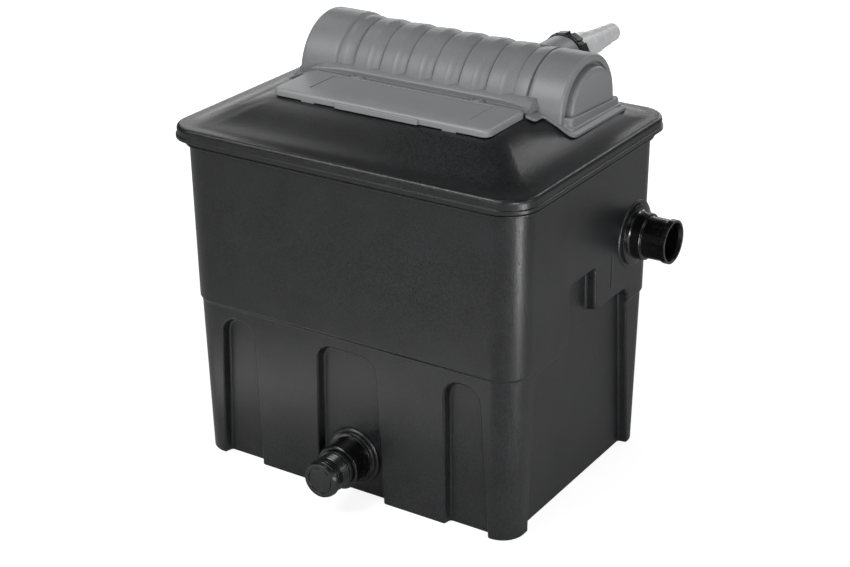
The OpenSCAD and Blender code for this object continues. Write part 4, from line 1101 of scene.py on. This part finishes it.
def make_camera():
    """Looks from the right of the front and from above, with a slight roll."""
    az, el, roll = (math.radians(a) for a in (CAMERA_AZ, CAMERA_EL, CAMERA_ROLL))
    back = Vector((math.sin(az) * math.cos(el), -math.cos(az) * math.cos(el), math.sin(el)))
    right = Vector((math.cos(az), math.sin(az), 0))
    up = back.cross(right)
    across = right * math.cos(roll) + up * math.sin(roll)
    rise = up * math.cos(roll) - right * math.sin(roll)
    data = bpy.data.cameras.new("camera")
    data.sensor_width = 36
    data.lens = FOCAL_PX / IMAGE_W * data.sensor_width
    data.clip_end = 50
    cam = bpy.data.objects.new("camera", data)
    facing = Matrix((across, rise, back)).transposed().to_4x4()
    cam.matrix_world = Matrix.Translation(Vector(CAMERA_FROM) * MM) @ facing
    bpy.context.collection.objects.link(cam)
    bpy.context.scene.camera = cam


def background_mix(tree, lit, shown):
    """Shows one shader to the camera, also through clear parts, and the other to the rest."""
    path = add(tree, "LightPath")
    seen = add(tree, "Math", links={0: path.outputs["Is Camera Ray"], 1: path.outputs["Is Transmission Ray"]},
               operation="MAXIMUM")
    return add(tree, "MixShader", links={"Fac": seen.outputs[0], 1: lit.outputs[0], 2: shown.outputs[0]})


def make_floor():
    """White floor that takes a soft shadow. Its glow grows to full white a metre and a half out, so
    that it meets the white background without a line."""
    bm = bmesh.new()
    loft(bm, [[(-FLOOR_REACH, y, 0), (FLOOR_REACH, y, 0)] for y in (-FLOOR_REACH, FLOOR_REACH)], closed=False)
    floor = new_mesh_object("floor", bm)
    mat = bpy.data.materials.new("white_floor")
    mat.use_nodes = True
    tree = mat.node_tree
    tree.nodes.clear()
    matt = add(tree, "BsdfDiffuse", {"Color": (0.6, 0.6, 0.6, 1)})
    pale = add(tree, "BsdfDiffuse", {"Color": (0.35, 0.35, 0.35, 1)})
    spot = add(tree, "TexCoord")
    away = add(tree, "VectorMath", links={0: spot.outputs["Object"]}, operation="LENGTH")
    fade = add(tree, "MapRange", {"From Min": 0.7, "From Max": 1.5, "To Min": 0.82, "To Max": 1.0},
               {"Value": away.outputs["Value"]})
    glow = add(tree, "Emission", {"Color": (1, 1, 1, 1)}, {"Strength": fade.outputs[0]})
    both = add(tree, "AddShader", links={0: pale.outputs[0], 1: glow.outputs[0]})
    mixed = background_mix(tree, matt, both)
    add(tree, "OutputMaterial", links={"Surface": mixed.outputs[0]})
    floor.data.materials.append(mat)


def make_world():
    """White background for the camera, and a dim white room for everything else."""
    world = bpy.data.worlds.new("studio")
    world.use_nodes = True
    bpy.context.scene.world = world
    tree = world.node_tree
    tree.nodes.clear()
    dim = add(tree, "Background", {"Color": (1, 1, 1, 1), "Strength": 0.09})
    white = add(tree, "Background", {"Color": (1, 1, 1, 1), "Strength": 1.0})
    mixed = background_mix(tree, dim, white)
    add(tree, "OutputWorld", links={"Surface": mixed.outputs[0]})


AIM = Vector((0, 0, 0.3))


def softbox(name, turn, rise, reach, width, height, power):
    """Rectangular soft lamp that faces the object from a turn to the right of the front, in
    degrees, a rise above the floor, and a reach in metres."""
    data = bpy.data.lights.new(name, "AREA")
    data.shape = "RECTANGLE"
    data.size, data.size_y, data.energy = width, height, power
    lamp = bpy.data.objects.new(name, data)
    turn, rise = math.radians(turn), math.radians(rise)
    away = Vector((math.sin(turn) * math.cos(rise), -math.cos(turn) * math.cos(rise), math.sin(rise)))
    lamp.location = AIM + away * reach
    lamp.rotation_euler = away.to_track_quat("Z", "Y").to_euler()
    lamp.visible_camera = False
    bpy.context.collection.objects.link(lamp)


def make_light():
    """A large lamp on the left of the front, and smaller ones that lift the right wall, the drain,
    the far sides and the top."""
    softbox("key_softbox", -28, 44, 2.8, 1.4, 1.2, 46)
    softbox("right_card", 72, -8, 0.96, 0.13, 0.28, 2.4)
    softbox("front_right_lamp", 50, 14, 2.8, 0.45, 0.45, 32)
    softbox("floor_card", -22, -39, 0.48, 0.52, 0.1, 0.3)
    softbox("right_fill", 100, 24, 2.6, 0.8, 0.8, 8)
    softbox("front_bounce", -10, 8, 2.2, 1.2, 0.3, 6)
    softbox("rear_left_panel", -145, 14, 3.2, 2.0, 0.8, 14)
    softbox("left_high", -110, 44, 1.14, 0.3, 0.3, 0.8)
    softbox("rear_high", 165, 37, 2.8, 0.7, 0.4, 8)
    softbox("rear_fill", 178, 14, 3.0, 1.6, 0.8, 12)
    softbox("overhead", 0, 88, 2.6, 1.0, 1.0, 3)


bpy.context.scene.view_settings.view_transform = "Standard"
make_camera()
make_world()
make_light()
make_floor()
finish_nodes()
make_tank()
make_lid()
make_cover()
make_flap()
make_face_plate()
make_outlet()
make_drain_pipe()
make_drain_cap()
make_union_nut()
make_hose_tail()
make_foams()
make_media_bag()
